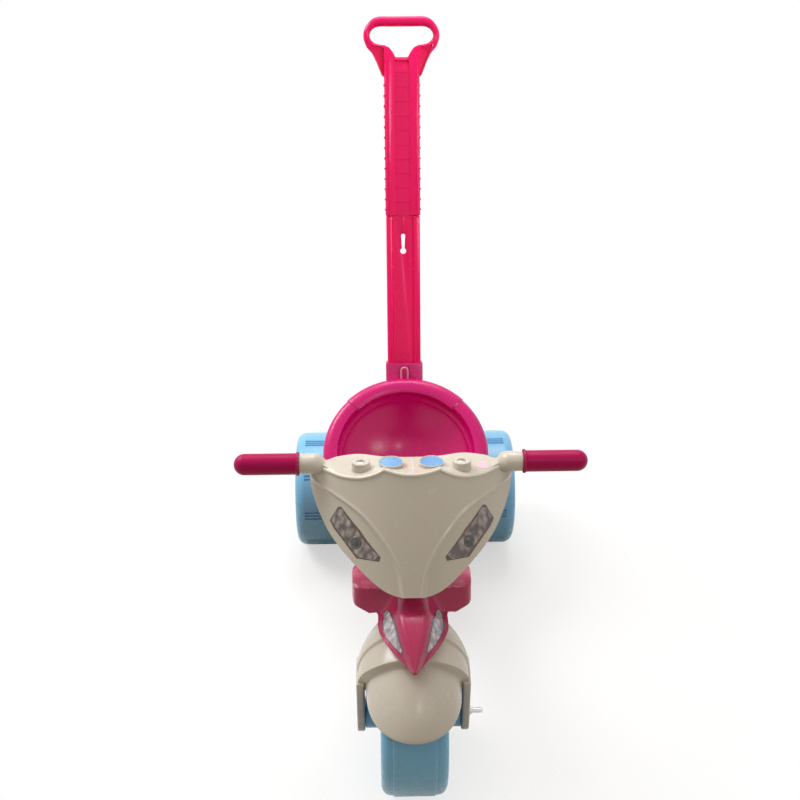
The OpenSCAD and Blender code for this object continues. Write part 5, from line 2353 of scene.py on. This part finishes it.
@dataclass(frozen=True)
class Hardware:
    """The plain turned and stamped pieces, which keep their CAD meshes."""

    steel: tuple[str, ...] = ("seat_screws", "rear_axle", "axle_caps", "steering_column", "column_bolt",
                              "axle_clip")
    nylon: tuple[str, ...] = ("steering_washer",)

    def build(self) -> None:
        """Give each piece its finish."""
        for names, finish in ((self.steel, STEEL), (self.nylon, NYLON)):
            for name in names:
                node = frame["nodes"][name]
                node.data.materials.clear()
                node.data.materials.append(finish.material())
                LOG.info("%s: kept from CAD as %s", name, finish.name)


@dataclass(frozen=True)
class Studio:
    """The plain white studio: floor, world, lamps and camera."""

    camera_place: tuple[float, float, float] = (-0.03397, -1.2848, 1.2513)
    camera_turn: tuple[float, float, float] = (56.11, 0.09, -1.11)
    lens: float = 50.05
    front: Colour = (0.26, 0.215, 0.15)
    around: Colour = (0.66, 0.63, 0.585)
    bounce: Colour = (0.3, 0.25, 0.18)
    shadow: float = 0.45
    fade: Pair = (0.2, 0.62)

    def floor(self) -> None:
        """Lay the floor."""
        mesh = bpy.data.meshes.new("floor")
        bm = bmesh.new()
        bmesh.ops.create_grid(bm, x_segments=4, y_segments=4, size=6.0)
        bm.to_mesh(mesh)
        bm.free()
        floor = bpy.data.objects.new("floor", mesh)
        bpy.context.scene.collection.objects.link(floor)
        graph = Graph("studio floor")
        tint = graph.mixed(graph.noise(3.0, 2.0), (0.96, 0.96, 0.96), (0.98, 0.98, 0.98))
        rays = graph.tree.nodes.new("ShaderNodeLightPath").outputs
        seen = graph.maths("MAXIMUM", rays["Is Camera Ray"], rays["Is Glossy Ray"])
        seen = graph.maths("MAXIMUM", seen, rays["Is Transmission Ray"])
        reach = graph.tree.nodes.new("ShaderNodeVectorMath")
        reach.operation = "LENGTH"
        graph.put(reach.inputs[0], graph.place)
        graph.set(Base_Color=graph.mixed(seen, self.bounce, tint), Roughness=0.9, Specular_IOR_Level=0.0)
        faint = graph.ranged(rays["Is Camera Ray"], (0.0, 1.0), (1.0, self.shadow))
        edge = graph.ranged(reach.outputs["Value"], self.fade, (1.0, 0.0))
        graph.set(Alpha=graph.maths("MULTIPLY", faint, edge))
        mesh.materials.append(graph.material)

    def world(self) -> None:
        """Light the scene from all round, and keep the background white for the camera."""
        world = bpy.data.worlds.new("studio")
        bpy.context.scene.world = world
        world.use_nodes = True
        tree = world.node_tree
        tree.nodes.clear()
        soft = tree.nodes.new("ShaderNodeBackground")
        soft.inputs["Strength"].default_value = 1.0
        compass = tree.nodes.new("ShaderNodeSeparateXYZ")
        tree.links.new(tree.nodes.new("ShaderNodeTexCoord").outputs["Generated"], compass.inputs[0])
        turn = tree.nodes.new("ShaderNodeMapRange")
        turn.interpolation_type = "SMOOTHSTEP"
        for name, value in (("From Min", -0.8), ("From Max", 0.0), ("To Min", 0.0), ("To Max", 1.0)):
            turn.inputs[name].default_value = value
        tree.links.new(compass.outputs["Y"], turn.inputs["Value"])
        tint = tree.nodes.new("ShaderNodeMix")
        tint.data_type = "RGBA"
        tint.inputs[6].default_value = (*self.front, 1.0)
        tint.inputs[7].default_value = (*self.around, 1.0)
        tree.links.new(turn.outputs[0], tint.inputs[0])
        tree.links.new(tint.outputs[2], soft.inputs["Color"])
        white = tree.nodes.new("ShaderNodeBackground")
        white.inputs["Color"].default_value = (1.0, 1.0, 1.0, 1.0)
        white.inputs["Strength"].default_value = 1.0
        rays = tree.nodes.new("ShaderNodeLightPath")
        mix = tree.nodes.new("ShaderNodeMixShader")
        out = tree.nodes.new("ShaderNodeOutputWorld")
        seen = rays.outputs["Is Camera Ray"]
        for name in ("Is Glossy Ray", "Is Transmission Ray"):
            either = tree.nodes.new("ShaderNodeMath")
            either.operation = "MAXIMUM"
            tree.links.new(seen, either.inputs[0])
            tree.links.new(rays.outputs[name], either.inputs[1])
            seen = either.outputs["Value"]
        tree.links.new(seen, mix.inputs[0])
        tree.links.new(soft.outputs[0], mix.inputs[1])
        tree.links.new(white.outputs[0], mix.inputs[2])
        tree.links.new(mix.outputs[0], out.inputs["Surface"])

    def lamp(self, name: str, place: Sequence[float], size: float, power: float,
             aim: Sequence[float] = (0.0, 0.0, 0.3), spread: float = 180.0) -> None:
        """Hang a soft lamp that faces the trike.

        Args:
            name: The lamp's name.
            place: Where it hangs, in metres.
            size: The side of its square.
            power: Its power, in watts.
            aim: The point that it faces.
            spread: The angle of its beam, in degrees.
        """
        data = bpy.data.lights.new(name, "AREA")
        data.size = size
        data.energy = power
        data.spread = math.radians(spread)
        lamp = bpy.data.objects.new(name, data)
        lamp.location = place
        lamp.rotation_euler = (Vector(aim) - Vector(place)).to_track_quat("-Z", "Y").to_euler()
        bpy.context.scene.collection.objects.link(lamp)

    def camera(self) -> None:
        """Set the camera where the photograph was taken from."""
        data = bpy.data.cameras.new("camera")
        data.sensor_width = 36.0
        data.lens = self.lens
        camera = bpy.data.objects.new("camera", data)
        camera.location = self.camera_place
        camera.rotation_euler = [math.radians(angle) for angle in self.camera_turn]
        bpy.context.scene.collection.objects.link(camera)
        bpy.context.scene.camera = camera

    def build(self) -> None:
        """Set up the studio."""
        self.floor()
        self.world()
        self.lamp("key lamp", (-1.5, 0.8, 2.0), 1.1, 37.0)
        self.lamp("top lamp", (0.1, 1.1, 2.45), 1.2, 24.0)
        self.lamp("front lamp", (0.45, -1.75, 1.95), 0.2, 2.2)
        self.lamp("pole lamp", (1.25, -1.1, 1.6), 0.6, 1.05, (0.0, 0.38, 0.72), 40.0)
        self.camera()
        bpy.context.scene.view_settings.view_transform = "Standard"


def main() -> None:
    """Build the whole trike and its studio."""
    logging.basicConfig(level=logging.INFO, format="%(message)s")
    layout = Layout.read()
    chassis = Chassis(layout)
    fairing = Fairing(layout)
    rear_x = 134.5
    right = layout.rear_axle + Vector((rear_x, 0.0, 0.0))
    left = layout.rear_axle - Vector((rear_x, 0.0, 0.0))
    pieces = [
        chassis, NoseLamps(chassis), Fork(layout), FrontAxle(layout), fairing, Headlamps(fairing),
        Dash(layout, fairing), Handlebar(layout, chassis.head_top), Grips(layout),
        Wheel("front_wheel_moulding", "front_wheel", Body.FRONT_WHEEL, layout.front_axle, radius=105.0,
              width=84.0, shoulder=13.0, crest=26.0, crest_drop=1.6, hub_in=61.5, hub_out=61.5),
        Wheel("rear_wheel_left_moulding", "rear_wheel_left", Body.LEFT_WHEEL, left, radius=93.0, width=84.0,
              shoulder=15.0, crest=26.0, crest_drop=0.0, hub_in=28.0, hub_out=47.5, groups=9),
        Wheel("rear_wheel_right_moulding", "rear_wheel_right", Body.RIGHT_WHEEL, right, radius=93.0,
              width=84.0, shoulder=15.0, crest=26.0, crest_drop=0.0, hub_in=47.5, hub_out=28.0, groups=9),
        Seat(layout), PushPole(layout), LatchTongue(layout), Hardware(), Studio(),
    ]
    for piece in pieces:
        piece.build()


if __name__ == "__main__":
    main()
